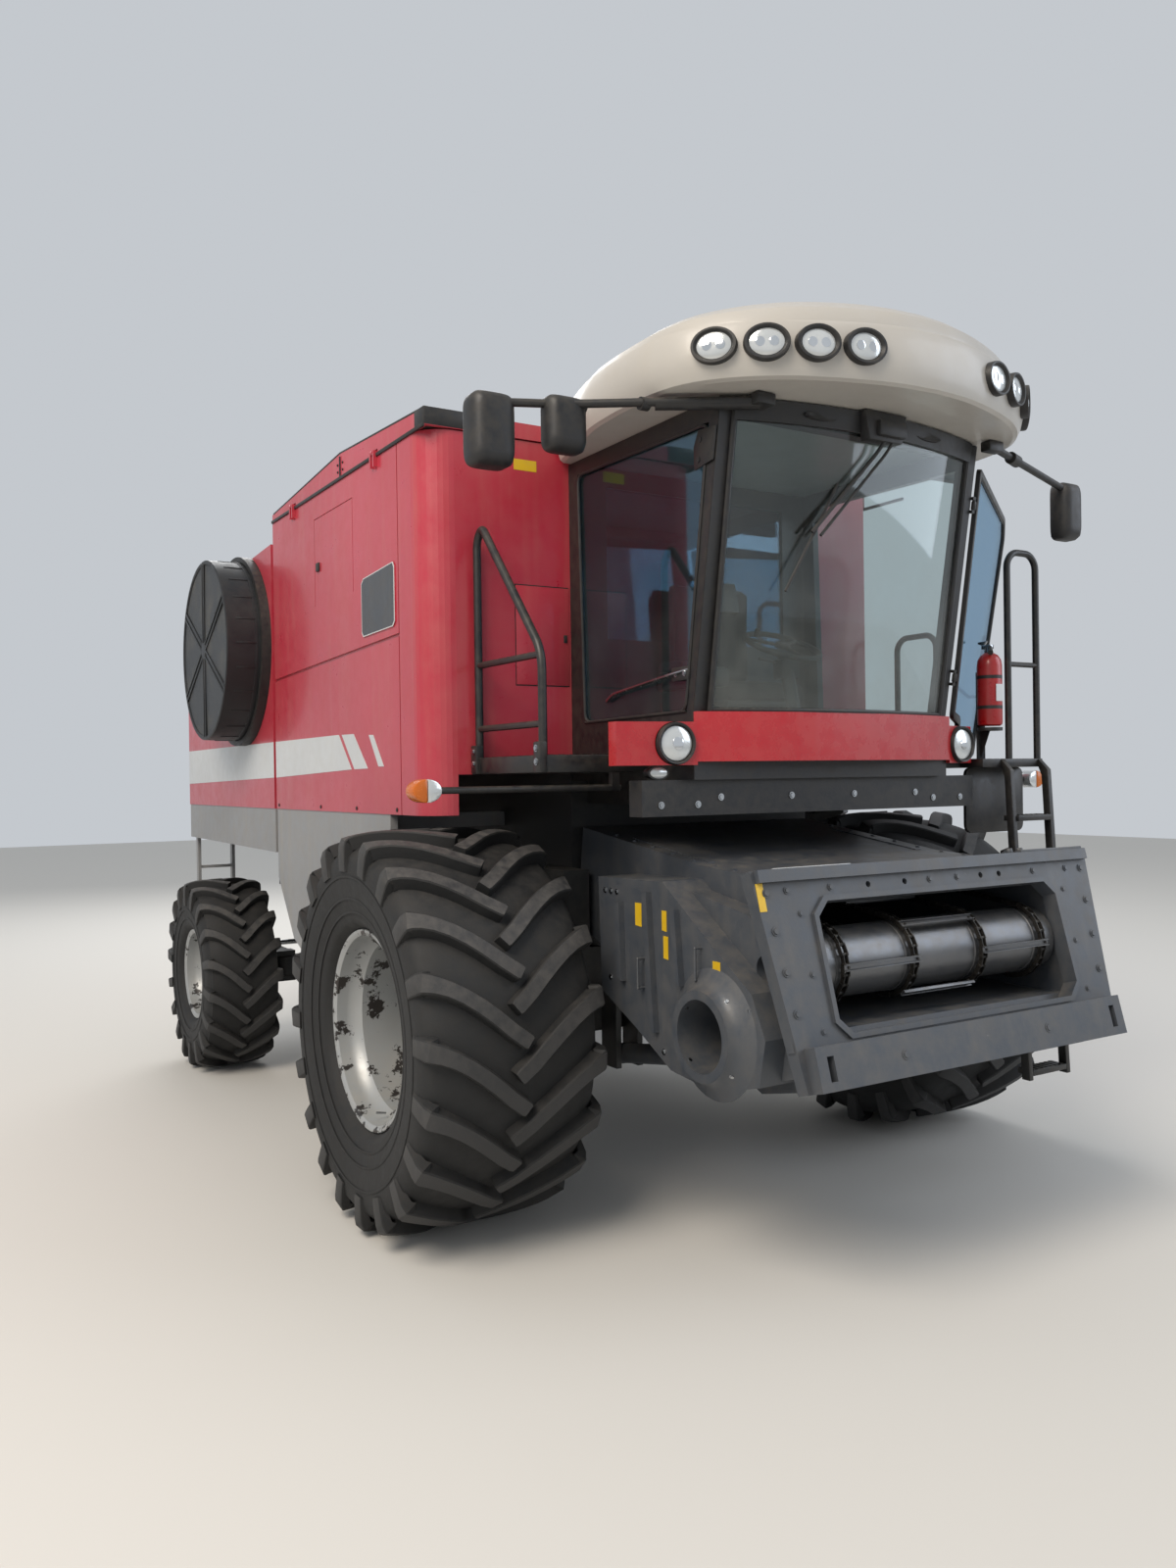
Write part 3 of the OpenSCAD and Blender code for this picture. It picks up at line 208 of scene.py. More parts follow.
reflector = surface("lamp_reflector_chrome", "#e6e8ea", "#cfd2d4", 0.08, metal=1.0, grain=9, dust=0.02, bump=0.002)
mirrorGlass = surface("mirror_glass_silvered", "#dfe4e8", "#cfd5da", 0.03, metal=1.0, grain=5, dust=0.05, bump=0.001)
yellowFilm = surface("yellow_sign_film", "#d9b21a", "#c9a214", 0.4, grain=9, dust=0.15, bump=0.004)
monitorFace = surface("monitor_glass_dark", "#0c0f12", "#101519", 0.12, grain=3, dust=0.05, coat=0.4, bump=0.001)
tailLens = surface("tail_lens_red", "#a01016", "#8b0c12", 0.2, grain=9, dust=0.1, coat=0.3)
tankSteel = surface("tank_steel_worn", "#80807c", "#6d6d69", 0.45, metal=0.4, grain=3, dust=0.35)
engineIron = surface("engine_cast_iron", "#2c2d2e", "#38393a", 0.6, metal=0.4, grain=6, dust=0.4)
rodSteel = surface("polished_rod_steel", "#b9bcbf", "#a5a8ab", 0.2, metal=1.0, grain=6, dust=0.1)
drumSteel = surface("worn_drum_steel", "#707275", "#585a5e", 0.36, metal=0.8, grain=5, dust=0.15)
chainSteel = surface("oily_chain_steel", "#1b1b1c", "#272625", 0.42, metal=0.5, grain=14, dust=0.10)
seatFabric = surface("seat_fabric_woven", "#2c2d31", "#222327", 0.9, grain=8, dust=0.1, bump=0.2, fine=400)
redSteel = surface("extinguisher_red_paint", "#a80f14", "#8f0b10", 0.3, grain=5, dust=0.1, coat=0.3)
lampLens = surface("lamp_lens_clear", "#d9dcdc", "#c4c8c9", 0.12, metal=0.5, grain=9, dust=0.08)
amberLens = surface("amber_lens", "#c8690f", "#b4570a", 0.2, grain=9, dust=0.08)
cabGlass = glassSurface("cab_glass_tinted", "#dde6e6", 0.985, 0.20)
doorGlass = glassSurface("side_glass_blue", "#c3d8e0", 0.99, 0.05, "#b7cfe6", 0.11)
screenWire = meshSurface("woven_wire_black", "#15181b", "#4b5056", 900.0)

finishes = {
    "dark_frame": framePaint, "tank_steel": tankSteel, "red_paint": redPaint, "red_gloss": redGloss,
    "silver_grey_paint": greyPaint, "engine_iron": engineIron, "black_plastic": blackPlastic,
    "black_screen": screenPaint, "steel_rod": rodSteel, "rim_silver": rimPaint, "tyre": rubber,
    "black_frame": blackPaint, "roof_cream": creamPlastic, "cab_glass": cabGlass, "seat_fabric": seatFabric,
    "lamp_glass": lampLens, "extinguisher_red": redSteel, "slate_paint": slatePaint, "drum_steel": drumSteel,
    "chain_steel": chainSteel,
}
slotOf = {p["node"]: p["material_slot"] for p in frame["record"]["subparts"]}
for nodeName, obj in frame["nodes"].items():
    obj.data.materials.clear()
    obj.data.materials.append(finishes[slotOf[nodeName]])
print("materials made")


def turns(count):
    return [2 * pi * k / count for k in range(count)]


def placed(at, angle=0.0, axis="X"):
    return Matrix.Translation(at) @ Matrix.Rotation(angle, 4, axis)


def joinRows(bm, rows, closed=True, mat=0):
    made = []
    for a, b in zip(rows, rows[1:]):
        for i in range(len(a) if closed else len(a) - 1):
            j = (i + 1) % len(a)
            made.append(bm.faces.new((a[i], a[j], b[j], b[i])))
            made[-1].material_index = mat
    return made


def sweepLoops(bm, loops, closed=True, caps=True, mat=0):
    rows = [[bm.verts.new(p) for p in loop] for loop in loops]
    made = joinRows(bm, rows, closed, mat)
    if caps:
        for ends in (list(reversed(rows[0])), rows[-1]):
            made.append(bm.faces.new(ends))
            made[-1].material_index = mat
    return made


def bevelEdges(part, edges, width, segments=2):
    bmesh.ops.bevel(part, geom=edges, offset=width, offset_type="OFFSET", affect="EDGES", segments=segments,
                    profile=0.5, material=-1)


def joinPart(bm, part, edge=0.0, mat=None, turn=None):
    if edge:
        bevelEdges(part, list(part.edges), edge)
    if mat is not None:
        for f in part.faces:
            f.material_index = mat
    mesh = bpy.data.meshes.new("part")
    part.to_mesh(mesh)
    part.free()
    if turn is not None:
        mesh.transform(turn)
    bm.from_mesh(mesh)
    bpy.data.meshes.remove(mesh)


def boxPart(lo, hi):
    part = bmesh.new()
    bmesh.ops.create_cube(part, size=1)
    bmesh.ops.scale(part, vec=[abs(b - a) for a, b in zip(lo, hi)], verts=part.verts)
    bmesh.ops.translate(part, vec=[(a + b) / 2 for a, b in zip(lo, hi)], verts=part.verts)
    return part


def addBox(bm, lo, hi, edge=0.0, mat=0):
    joinPart(bm, boxPart(lo, hi), edge, mat)


# a flat plate: points lie across the axis, low and high along it
def addPlate(bm, points, low, high, axis="x", edge=0.0, mat=0):
    part = bmesh.new()
    order = "xyz".index(axis)
    sweepLoops(part, [[(*p[:order], v, *p[order:]) for p in points] for v in (low, high)])
    bmesh.ops.recalc_face_normals(part, faces=part.faces)
    joinPart(bm, part, edge, mat)


def addRod(bm, a, b, r, seg=20, end=None, mat=0, edge=0.0):
    a, b = Vector(a), Vector(b)
    part = bmesh.new()
    bmesh.ops.create_cone(part, cap_ends=True, cap_tris=False, segments=seg, radius1=r,
                          radius2=r if end is None else end, depth=(b - a).length)
    if edge:
        bevelEdges(part, [e for e in part.edges if abs(e.verts[0].co.z - e.verts[1].co.z) < 1e-6], edge)
    turn = Matrix.Translation((a + b) / 2) @ (b - a).to_track_quat("Z", "Y").to_matrix().to_4x4()
    joinPart(bm, part, 0, mat, turn)


def roundCorner(before, here, after, reach, steps=5):
    start = here + (before - here).normalized() * reach
    stop = here + (after - here).normalized() * reach
    return [start * (1 - t) ** 2 + here * 2 * t * (1 - t) + stop * t * t for t in (k / steps for k in range(steps + 1))]


def roundPath(points, bend):
    points = [Vector(p) for p in points]
    path = [points[0]]
    for before, here, after in zip(points, points[1:], points[2:]):
        reach = min(bend, (here - before).length * 0.49, (after - here).length * 0.49)
        path += roundCorner(before, here, after, reach)
    return path + [points[-1]]


def roundLoop(points, bend):
    points = [Vector(p) for p in points]
    loop = []
    for i, here in enumerate(points):
        loop += roundCorner(points[i - 1], here, points[(i + 1) % len(points)], bend)
    return loop


def smoothLine(points, steps):
    points = [Vector(p) for p in points]
    line = []
    for i, (a, b) in enumerate(zip(points, points[1:])):
        before = points[i - 1] if i else a + (a - b)
        after = points[i + 2] if i + 2 < len(points) else b + (b - a)
        for k in range(steps):
            t = k / steps
            line.append(0.5 * (2 * a + (b - before) * t + (2 * before - 5 * a + 4 * b - after) * t * t
                               + (3 * a - before - 3 * b + after) * t ** 3))
    return line + [points[-1]]


def addTube(bm, points, r, bend=0.05, seg=10, mat=0):
    path = roundPath(points, bend)
    ahead = [(b - a).normalized() for a, b in zip(path, path[1:])]
    tangents = [ahead[0]] + [(a + b).normalized() for a, b in zip(ahead, ahead[1:])] + [ahead[-1]]
    side = tangents[0].orthogonal().normalized()
    loops = []
    for place, tangent in zip(path, tangents):
        side = (side - tangent * side.dot(tangent)).normalized()
        other = tangent.cross(side)
        loops.append([place + r * (cos(t) * side + sin(t) * other) for t in turns(seg)])
    sweepLoops(bm, loops, mat=mat)


# a closed profile of (along x, radius) turned round the x axis through the center
def addSpin(bm, profile, center, steps=72, mat=0):
    rows = [[bm.verts.new((center[0] + u, center[1] + r * cos(t), center[2] + r * sin(t))) for u, r in profile]
            for t in turns(steps)]
    joinRows(bm, rows + rows[:1], True, mat)


# an open profile of (radius, height) turned round the z axis
def addSpinZ(bm, rows, center, seg=32, mat=0):
    part = bmesh.new()
    sweepLoops(part, [[(center[0] + max(r, 1e-4) * cos(t), center[1] + max(r, 1e-4) * sin(t), z) for t in turns(seg)]
                      for r, z in rows])
    joinPart(bm, part, 0, mat)


# a collar round a tube that runs along y
def addCollar(bm, center, r, out, length):
    part = bmesh.new()
    inner = r - 0.004
    rows = [(inner, 0.0), (r + out, 0.0), (r + out, length), (inner, length), (inner, 0.0)]
    sweepLoops(part, [[(center[0] + u * cos(t), center[1] + v, center[2] + u * sin(t)) for t in turns(40)]
                      for u, v in rows], caps=False)
    joinPart(bm, part)


def addRing(bm, center, ringR, r, turn, seg=48, sides=12):
    part = bmesh.new()
    rows = [[part.verts.new(((ringR + r * cos(u)) * cos(t), (ringR + r * cos(u)) * sin(t), r * sin(u)))
             for u in turns(sides)] for t in turns(seg)]
    joinRows(part, rows + rows[:1])
    joinPart(bm, part, turn=Matrix.Translation(center) @ turn)


# an oval lamp or cup that faces way; rows hold depth and share of its half axes a and b
def addOval(bm, at, way, a, b, rows, mat=0, seg=36):
    at, way = Vector(at), Vector(way).normalized()
    side = way.cross(Vector((0, 0, 1))).normalized()
    up = side.cross(way)
    faces = sweepLoops(bm, [[at + way * deep + side * a * share * cos(t) + up * b * share * sin(t) for t in turns(seg)]
                            for deep, share in rows], caps=False, mat=mat)
    for rim in ([f.verts[2] for f in faces[-seg:]], [f.verts[0] for f in faces[:seg]]):
        bm.faces.new(rim).material_index = mat


def addBolt(bm, at, way, r, h, mat=0):
    at, way = Vector(at), Vector(way).normalized()
    addRod(bm, at - way * 0.002, at + way * h * 0.4, r * 1.5, 14, mat=mat)
    addRod(bm, at + way * h * 0.4, at + way * h, r, 6, mat=mat)


def addBolts(bm, spots, way, r, h, mat=0):
    for at in spots:
        addBolt(bm, at, way, r, h, mat)


def makePiece(name, bm, mats, body, stands=(), angle=35):
    bmesh.ops.remove_doubles(bm, verts=bm.verts, dist=1e-6)
    bmesh.ops.recalc_face_normals(bm, faces=bm.faces)
    limit = radians(angle)
    for e in bm.edges:
        e.smooth = len(e.link_faces) == 2 and e.calc_face_angle(0) < limit
    for f in bm.faces:
        f.smooth = True
    bmesh.ops.translate(bm, vec=(0, axleY, 0), verts=bm.verts)
    mesh = bpy.data.meshes.new(name)
    bm.to_mesh(mesh)
    bm.free()
    for mat in mats:
        mesh.materials.append(mat)
    piece = bpy.data.objects.new(name, mesh)
    bpy.context.scene.collection.objects.link(piece)
    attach(piece, body)
    if stands:
        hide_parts(*stands)


frontTyre = {"x": 1.5625, "y": 0, "z": 0.945, "radius": 0.945, "width": 0.875, "bead": 0.455, "inside": 0.3355,
             "lugs": 20, "height": 0.055, "half": 0.036, "lead": 0.16}
rearTyre = {"x": 1.63, "y": 3.76, "z": 0.70, "radius": 0.70, "width": 0.54, "bead": 0.31, "inside": 0.195,
            "lugs": 18, "height": 0.042, "half": 0.027, "lead": 0.11}
# along a lug: share of the width, drop below the crown, share of the lead, of the half width and of the height
lugRows = [(-0.03, 0.0, -1.0, 0.86, 1.0), (-0.018, 0.0, -0.95, 1.0, 1.0), (0.06, 0.0, -0.62, 1.0, 1.0),
           (0.14, 0.0, -0.22, 1.0, 1.0), (0.215, 0.0, 0.12, 1.0, 1.0), (0.29, 0.003, 0.42, 1.0, 1.0),
           (0.36, 0.009, 0.65, 1.03, 0.98), (0.42, 0.018, 0.81, 1.14, 0.94), (0.462, 0.027, 0.89, 1.24, 0.92),
           (0.487, 0.038, 0.94, 1.32, 0.9), (0.4985, 0.072, 0.97, 1.38, 0.66), (0.4998, 0.13, 0.995, 1.4, 0.44),
           (0.499, 0.175, 1.01, 1.38, 0.26), (0.4965, 0.19, 1.015, 1.35, 0.08)]
# across a lug: share of its half width, share of its height below the top
lugSection = [(-1.16, 1.25), (-1.0, 0.12), (-0.84, 0.0), (0.84, 0.0), (1.0, 0.12), (1.16, 1.25)]


def lugLoops(t, side, turn):
    loops = []
    for i, (u, drop, c, wide, high) in enumerate(lugRows):
        before, after = lugRows[max(i - 1, 0)], lugRows[min(i + 1, len(lugRows) - 1)]
        flat = Vector(((after[0] - before[0]) * t["width"], (before[1] - after[1])))
        outward = Vector((-flat.y, flat.x)).normalized()
        across = Vector((flat.length, (after[2] - before[2]) * t["lead"])).normalized()
        loop = []
        for shift, depth in lugSection:
            w = shift * t["half"] * wide
            point = Vector((u * t["width"], t["radius"] - drop)) - flat.normalized() * w * across.y
            point -= outward * depth * high * t["height"]
            angle = radians(turn) + (c * t["lead"] + w * across.x) / t["radius"]
            loop.append((side * point.x, point.y * sin(angle), point.y * cos(angle)))
        loops.append(loop)
    return loops


def tyreProfile(t):
    w, r, big, h, inside = (t[k] for k in ("width", "bead", "radius", "height", "inside"))
    side, foot, top = w / 2 - 0.012, r + 0.075, big - 0.20
    bulge = side - inside - 0.05
    half = [(inside, r), (inside + 0.003, r + 0.024), (inside + 0.020, r + 0.036), (inside + 0.038, r + 0.05),
            (inside + 0.046, r + 0.062), (inside + 0.05, foot)]
    half += [(inside + 0.05 + bulge * sin(k * pi / 12), foot + (top - foot) * k / 6) for k in range(1, 7)]
    half += [(side, top + 0.03), (side - 0.008, top + 0.075), (side - 0.028, big - h - 0.045),
             (w * 0.43, big - h - 0.028), (w * 0.35, big - h - 0.012), (w * 0.225, big - h - 0.002), (0, big - h)]
    return half + [(-u, rad) for u, rad in reversed(half[:-1])]


def tyreSide(t, radius):
    rows = tyreProfile(t)[:15]
    for (ua, ra), (ub, rb) in zip(rows, rows[1:]):
        if ra <= radius <= rb:
            return ua + (ub - ua) * (radius - ra) / max(rb - ra, 1e-6)


def makeTyre(name, t, side, body, node):
    bm = bmesh.new()
    place = (side * t["x"], t["y"], t["z"])
    for k in range(t["lugs"]):
        for m in (-1, 1):
            part = bmesh.new()
            faces = sweepLoops(part, lugLoops(t, m, (k + m / 4) * 360 / t["lugs"]))
            for f in faces[2:len(faces) - 2:len(lugSection)]:
                f.material_index = 1
            bmesh.ops.recalc_face_normals(part, faces=part.faces)
            joinPart(bm, part, turn=Matrix.Translation(place))
    addSpin(bm, tyreProfile(t), place, 120)
    for radius in (t["bead"] + 0.105, t["bead"] + 0.17, t["radius"] - 0.215):
        for m in (-1, 1):
            x = tyreSide(t, radius) * m
            addSpin(bm, [(x - 0.003, radius - 0.006), (x + m * 0.004, radius - 0.003), (x + m * 0.004, radius + 0.003),
                         (x - 0.003, radius + 0.006)], place, 96)
    makePiece(name, bm, [rubber, lugRubber], body, (node,), 30)


frontRim = {"x": 1.5625, "y": 0, "z": 0.945, "radius": 0.455, "width": 0.70, "hub": 0.19, "bore": 0.0905,
            "bolts": 12, "ring": 0.15}
rearRim = {"x": 1.63, "y": 3.76, "z": 0.70, "radius": 0.31, "width": 0.42, "hub": 0.12, "bore": 0.0605,
           "bolts": 8, "ring": 0.095}


def makeRim(name, r, side, body, node):
    bm = bmesh.new()
    place = Vector((side * r["x"], r["y"], r["z"]))
    big, w, hub, bore = r["radius"], r["width"] / 2, r["hub"], r["bore"]
    lip = [(w - 0.014, big), (w - 0.016, big + 0.012), (w - 0.013, big + 0.019), (w - 0.006, big + 0.022),
           (w, big + 0.019), (w, big + 0.010), (w - 0.004, big + 0.002), (w - 0.012, big - 0.010)]
    under = [(w - 0.06, big - 0.014), (w - 0.10, big - 0.022), (w - 0.13, big - 0.05), (w * 0.28, big - 0.055)]
    over = [(w * 0.28, big - 0.043), (w - 0.125, big - 0.038), (w - 0.095, big - 0.008), (w - 0.06, big)]
    addSpin(bm, lip + under + [(-u, v) for u, v in reversed(lip + under)] + [(-u, v) for u, v in reversed(over)] + over,
            place, 96)
    disc = [(-0.022, bore), (-0.022, hub + 0.02), (-0.03, hub + 0.06), (-0.016, big * 0.72), (-0.012, big - 0.09),
            (-0.02, big - 0.05), (-0.038, big - 0.05), (-0.034, big - 0.09), (-0.04, big * 0.72), (-0.05, hub + 0.06),
            (-0.04, hub), (-0.04, bore)]
    addSpin(bm, [(side * u, v) for u, v in disc], place, 72)
    cap = [(-0.022, hub), (0.03, hub * 0.97), (0.044, hub * 0.9), (0.048, hub * 0.75), (0.048, bore), (-0.03, bore)]
    addSpin(bm, [(side * u, v) for u, v in cap], place, 48)
    for t in turns(r["bolts"]):
        at = place + Vector((side * 0.048, r["ring"] * cos(t), r["ring"] * sin(t)))
        addBolt(bm, at, (side, 0, 0), 0.014, 0.018, 1)
    valve = place + Vector((side * (w - 0.09), 0, 0.045 - big))
    addRod(bm, valve, valve + Vector((side * 0.05, 0, 0.01)), 0.006, 10, mat=1)
    makePiece(name, bm, [rimPaint, rodSteel], body, (node,), 32)


def makeFour(make, kind, sizes):
    for side, word in ((-1, "right"), (1, "left")):
        for size, end in zip(sizes, ("front", "rear")):
            make(kind + end.title() + word.title(), size, side, "wheel_" + end + "_" + word,
                 kind + "_" + end + "_" + word)


makeFour(makeTyre, "tyre", (frontTyre, rearTyre))
print("tyres made")
makeFour(makeRim, "rim", (frontRim, rearRim))
print("rims made")


cutEdges = {"width": 0.005, "segments": 2, "angle": 38,
            "nodes": ("tank_front", "front_side_panels", "rear_side_panels", "lower_skirts", "rear_hood",
                      "tank_cover_right", "tank_cover_left", "cab_bumper", "chassis", "separator_housing",
                      "feeder_house", "adapter_frame", "cab_floor_frame", "rear_axle", "auger_turret", "grain_tank",
                      "screen_housing")}
for nodeName in cutEdges["nodes"]:
    bevel = frame["nodes"][nodeName].modifiers.new("edges", "BEVEL")
    bevel.width, bevel.segments, bevel.limit_method = cutEdges["width"], cutEdges["segments"], "ANGLE"
    bevel.angle_limit = radians(cutEdges["angle"])
    bevel.use_clamp_overlap = True


shield = {"half": 0.726, "front": -1.121, "bow": 0.115, "foot": 2.34, "lean": 9.1}


# a place on the windshield: k runs from -1 to 1 across it, out is the distance in front of it
def shieldPoint(k, z, out=0.0):
    y = shield["front"] - shield["bow"] * (1 - k * k) - out - (z - shield["foot"]) * tan(radians(shield["lean"]))
    return (k * (shield["half"] + out / 3), y, z)


roofSet = {"half": [(0, -1.85), (0.2, -1.835), (0.4, -1.79), (0.62, -1.715), (0.79, -1.625), (0.93, -1.51),
                    (1.03, -1.37), (1.075, -1.19), (1.08, -1.0), (1.07, -0.8), (1.045, -0.62), (0.97, -0.36),
                    (0.88, -0.095)],
           "middle": -0.9, "back": -0.15, "wide": 1.08, "sag": 0.035, "shoulder": 3.98,
           # share of the outline, height
           "rings": [(0.60, 3.744), (0.90, 3.742), (0.955, 3.742), (0.975, 3.752), (0.99, 3.785), (0.999, 3.83),
                     (1.0, 3.865), (0.996, 3.91), (0.988, 3.95), (0.980, 3.972), (0.977, 3.984), (0.970, 3.993),
                     (0.957, 3.995), (0.952, 4.0), (0.945, 4.03), (0.925, 4.066), (0.87, 4.105), (0.8, 4.137),
                     (0.7, 4.163), (0.6, 4.179), (0.45, 4.188), (0.3, 4.193), (0.12, 4.195)],
           # under the roof's front edge: height, distance in front of the windshield
           "band": [(3.648, 0.012), (3.648, 0.026), (3.735, 0.03), (3.741, 0.012)]}


def makeRoof(s):
    bm = bmesh.new()
    left = smoothLine(s["half"], 5)
    outline = left + [Vector((-p.x, p.y)) for p in reversed(left[1:])]
    loops = []
    for share, z in s["rings"]:
        loops.append([(p.x * share, p.y if p.y > s["back"] else s["middle"] + (p.y - s["middle"]) * share,
                       z - (s["sag"] * (abs(p.x) / s["wide"]) ** 2 if z > s["shoulder"] else 0)) for p in outline])
    sweepLoops(bm, loops)
    makePiece("cabRoofShell", bm, [creamPlastic], "base", ("cab_roof",), 24)
    bm = bmesh.new()
    band = [[shieldPoint(k / 24, z, out) for k in range(-24, 25)] for z, out in s["band"]]
    sweepLoops(bm, band + band[:1], closed=False, caps=False)
    for side in (-1, 1):
        addOval(bm, shieldPoint(side * 0.45, 3.69, 0.028), (side * 0.05, -1, 0.1), 0.09, 0.018,
                [(-0.01, 1), (0.004, 1), (0.004, 0.8), (0.001, 0.7)])
        addPlate(bm, [(-0.10, 3.61), (0.10, 3.61), (0.13, 3.74), (-0.13, 3.74)], -1.52, -1.46, "y", 0.006)
    makePiece("cabHeaderBand", bm, [blackPlastic], "base")


makeRoof(roofSet)
print("roof made")


lampSet = {"roof": [(0.40, -1.797, 12), (0.60, -1.735, 20), (0.79, -1.64, 35), (0.95, -1.50, 48)], "roofZ": 3.875,
           "bulb": [(-0.006, 1), (0.001, 0.9), (0.003, 0.5)], "head": (0.905, -1.136, 2.27),
           "signal": (1.93, 2.08), "work": (-0.95, -1.05, 2.142), "beacon": (1.185, -0.9),
           # depth and share of the lamp's size
           "bezel": [(-0.03, 1.0), (0.012, 1.0), (0.02, 0.97), (0.02, 0.87), (0.006, 0.76)],
           "lens": [(0.0, 0.77), (0.007, 0.76), (0.012, 0.6), (0.0145, 0.3)],
           "cup": [(-0.08, 0.98), (0.012, 1.0), (0.018, 0.97), (0.016, 0.9), (0.0, 0.84)],
           "headLens": [(0.0, 0.86), (0.006, 0.84), (0.014, 0.6), (0.018, 0.3)],
           "headBulb": [(-0.004, 1), (0.003, 0.9), (0.005, 0.5)],
           "workCup": [(-0.04, 0.8), (0.008, 1), (0.016, 0.97), (0.016, 0.88)],
           "workLens": [(0.012, 0.88), (0.018, 0.8), (0.022, 0.5)],
           # radius, height
           "foot": [(0.0, 3.74), (0.056, 3.74), (0.06, 3.75), (0.06, 3.775), (0.052, 3.78), (0.0, 3.78)],
           "dome": [(0.0, 3.779), (0.05, 3.779), (0.05, 3.84), (0.045, 3.862), (0.03, 3.877), (0.0, 3.879)]}


def makeLamps(lamps):
    bm = bmesh.new()
    for s in (-1, 1):
        for x, y, angle in lamps["roof"]:
            way = Vector((s * sin(radians(angle)), -cos(radians(angle)), -0.02))
            at = Vector((s * x, y, lamps["roofZ"]))
            addOval(bm, at, way, 0.096, 0.074, lamps["bezel"])
            addOval(bm, at, way, 0.094, 0.072, lamps["lens"], 1)
            for d in (-0.028, 0.028):
                side = way.cross(Vector((0, 0, 1))).normalized()
                addOval(bm, at + way * 0.0135 + side * d, way, 0.022, 0.022, lamps["bulb"], 2)
        head, way = Vector(lamps["head"]) * Vector((s, 1, 1)), (s * 0.1, -1, 0)
        addOval(bm, head, way, 0.093, 0.093, lamps["cup"])
        addOval(bm, head, way, 0.09, 0.09, lamps["headLens"], 1)
        addOval(bm, head + Vector((0, -0.017, 0)), way, 0.03, 0.03, lamps["headBulb"], 2)
        x, z = lamps["signal"]
        for out, shade in ((-1, 1), (1, 3)):
            half = [(s * (x + out * 0.066 * sin(pi * k / 12)), z + 0.05 * cos(pi * k / 12)) for k in range(13)]
            addPlate(bm, half, -0.80, -0.71, "y", 0.008, shade)
        addBox(bm, (s * (x - 0.045), -0.78, z - 0.025), (s * (x - 0.03), -0.72, z + 0.025), 0.003)
    addOval(bm, lamps["work"], (0, -1, 0), 0.058, 0.032, lamps["workCup"])
    addOval(bm, lamps["work"], (0, -1, 0), 0.055, 0.03, lamps["workLens"], 1)
    addSpinZ(bm, lamps["foot"], lamps["beacon"])
    addSpinZ(bm, lamps["dome"], lamps["beacon"], mat=3)
    makePiece("lampSet", bm, [blackPlastic, lampLens, reflector, amberLens], "base", ("lamps",), 30)


makeLamps(lampSet)
print("lamps made")


glassSet = {"pane": [(2.412, 0.0), (2.412, 0.008), (3.739, 0.008), (3.739, 0.0)],
            "side": [(-1.0748, 2.4102), (-0.2052, 2.4002), (-0.1652, 3.6698), (-1.2648, 3.6498)],
            "sideX": (-0.79, -0.782), "rear": ((-0.5998, -0.101, 2.8502), (0.5998, -0.093, 3.6398)),
            "seal": [(-1.07, 2.415), (-0.21, 2.405), (-0.17, 3.665), (-1.26, 3.645)], "sealX": -0.801,
            "latch": [(-1.17, 3.46), (-1.30, 3.48), (-1.325, 3.62), (-1.20, 3.63), (-1.165, 3.56)],
            "pillar": [(0.70, -0.006), (0.799, -0.004), (0.799, 0.03), (0.70, 0.03)],
            "wiperFoot": ((-0.06, -1.545, 3.63), (0.11, -1.50, 3.70), 0.01),
            # the wiper: points and radius of the arm, the link and the blade
            "wiper": [([(0.02, -1.53, 3.665), (0.0, -1.51, 3.62), (-0.02, -1.485, 3.57), (-0.36, -1.42, 3.19)], 0.009),
                      ([(0.07, -1.53, 3.665), (0.05, -1.51, 3.62), (0.03, -1.488, 3.57), (-0.31, -1.42, 3.18)], 0.007),
                      ([(-0.20, -1.415, 3.42), (-0.335, -1.405, 3.19), (-0.47, -1.365, 2.93)], 0.007)]}


def makeGlass(s):
    bm = bmesh.new()
    pane = [[shieldPoint(k / 28, z, out) for k in range(-28, 29)] for z, out in s["pane"]]
    sweepLoops(bm, pane + pane[:1], closed=False, caps=False)
    addPlate(bm, s["side"], *s["sideX"], "x", 0, 1)
    addBox(bm, *s["rear"], 0, 1)
    makePiece("cabGlazing", bm, [cabGlass, doorGlass], "base", ("cab_glass",), 30)
    bm = bmesh.new()
    for side in (-1, 1):
        addTube(bm, [shieldPoint(side * 0.995, z, 0.012) for z in (2.415, 3.0, 3.73)], 0.013, seg=8)
        pillar = []
        for z in (2.416, 3.0, 3.736):
            y = -1.125 - (z - 2.43) * 0.168
            pillar.append([(side * x, y + d, z) for x, d in s["pillar"]])
        sweepLoops(bm, pillar)
    addTube(bm, [shieldPoint(k / 12, 2.418, 0.012) for k in range(-12, 13)], 0.010, seg=8)
    ring = [(s["sealX"], y, z) for y, z in s["seal"]]
    addTube(bm, ring + ring[:2], 0.008, 0.05, 8)
    addBolts(bm, [(-0.803, -1.20 - (z - 3.5) * 0.16, z) for z in (3.50, 3.585)], (-1, 0, 0), 0.014, 0.012)
    addPlate(bm, s["latch"], -0.812, -0.802, "x", 0.003)
    for points, r in s["wiper"]:
        addTube(bm, points, r, 0.03, 8)
    addBox(bm, *s["wiperFoot"])
    makePiece("windshieldTrim", bm, [blackPlastic], "base")


makeGlass(glassSet)
print("glass made")


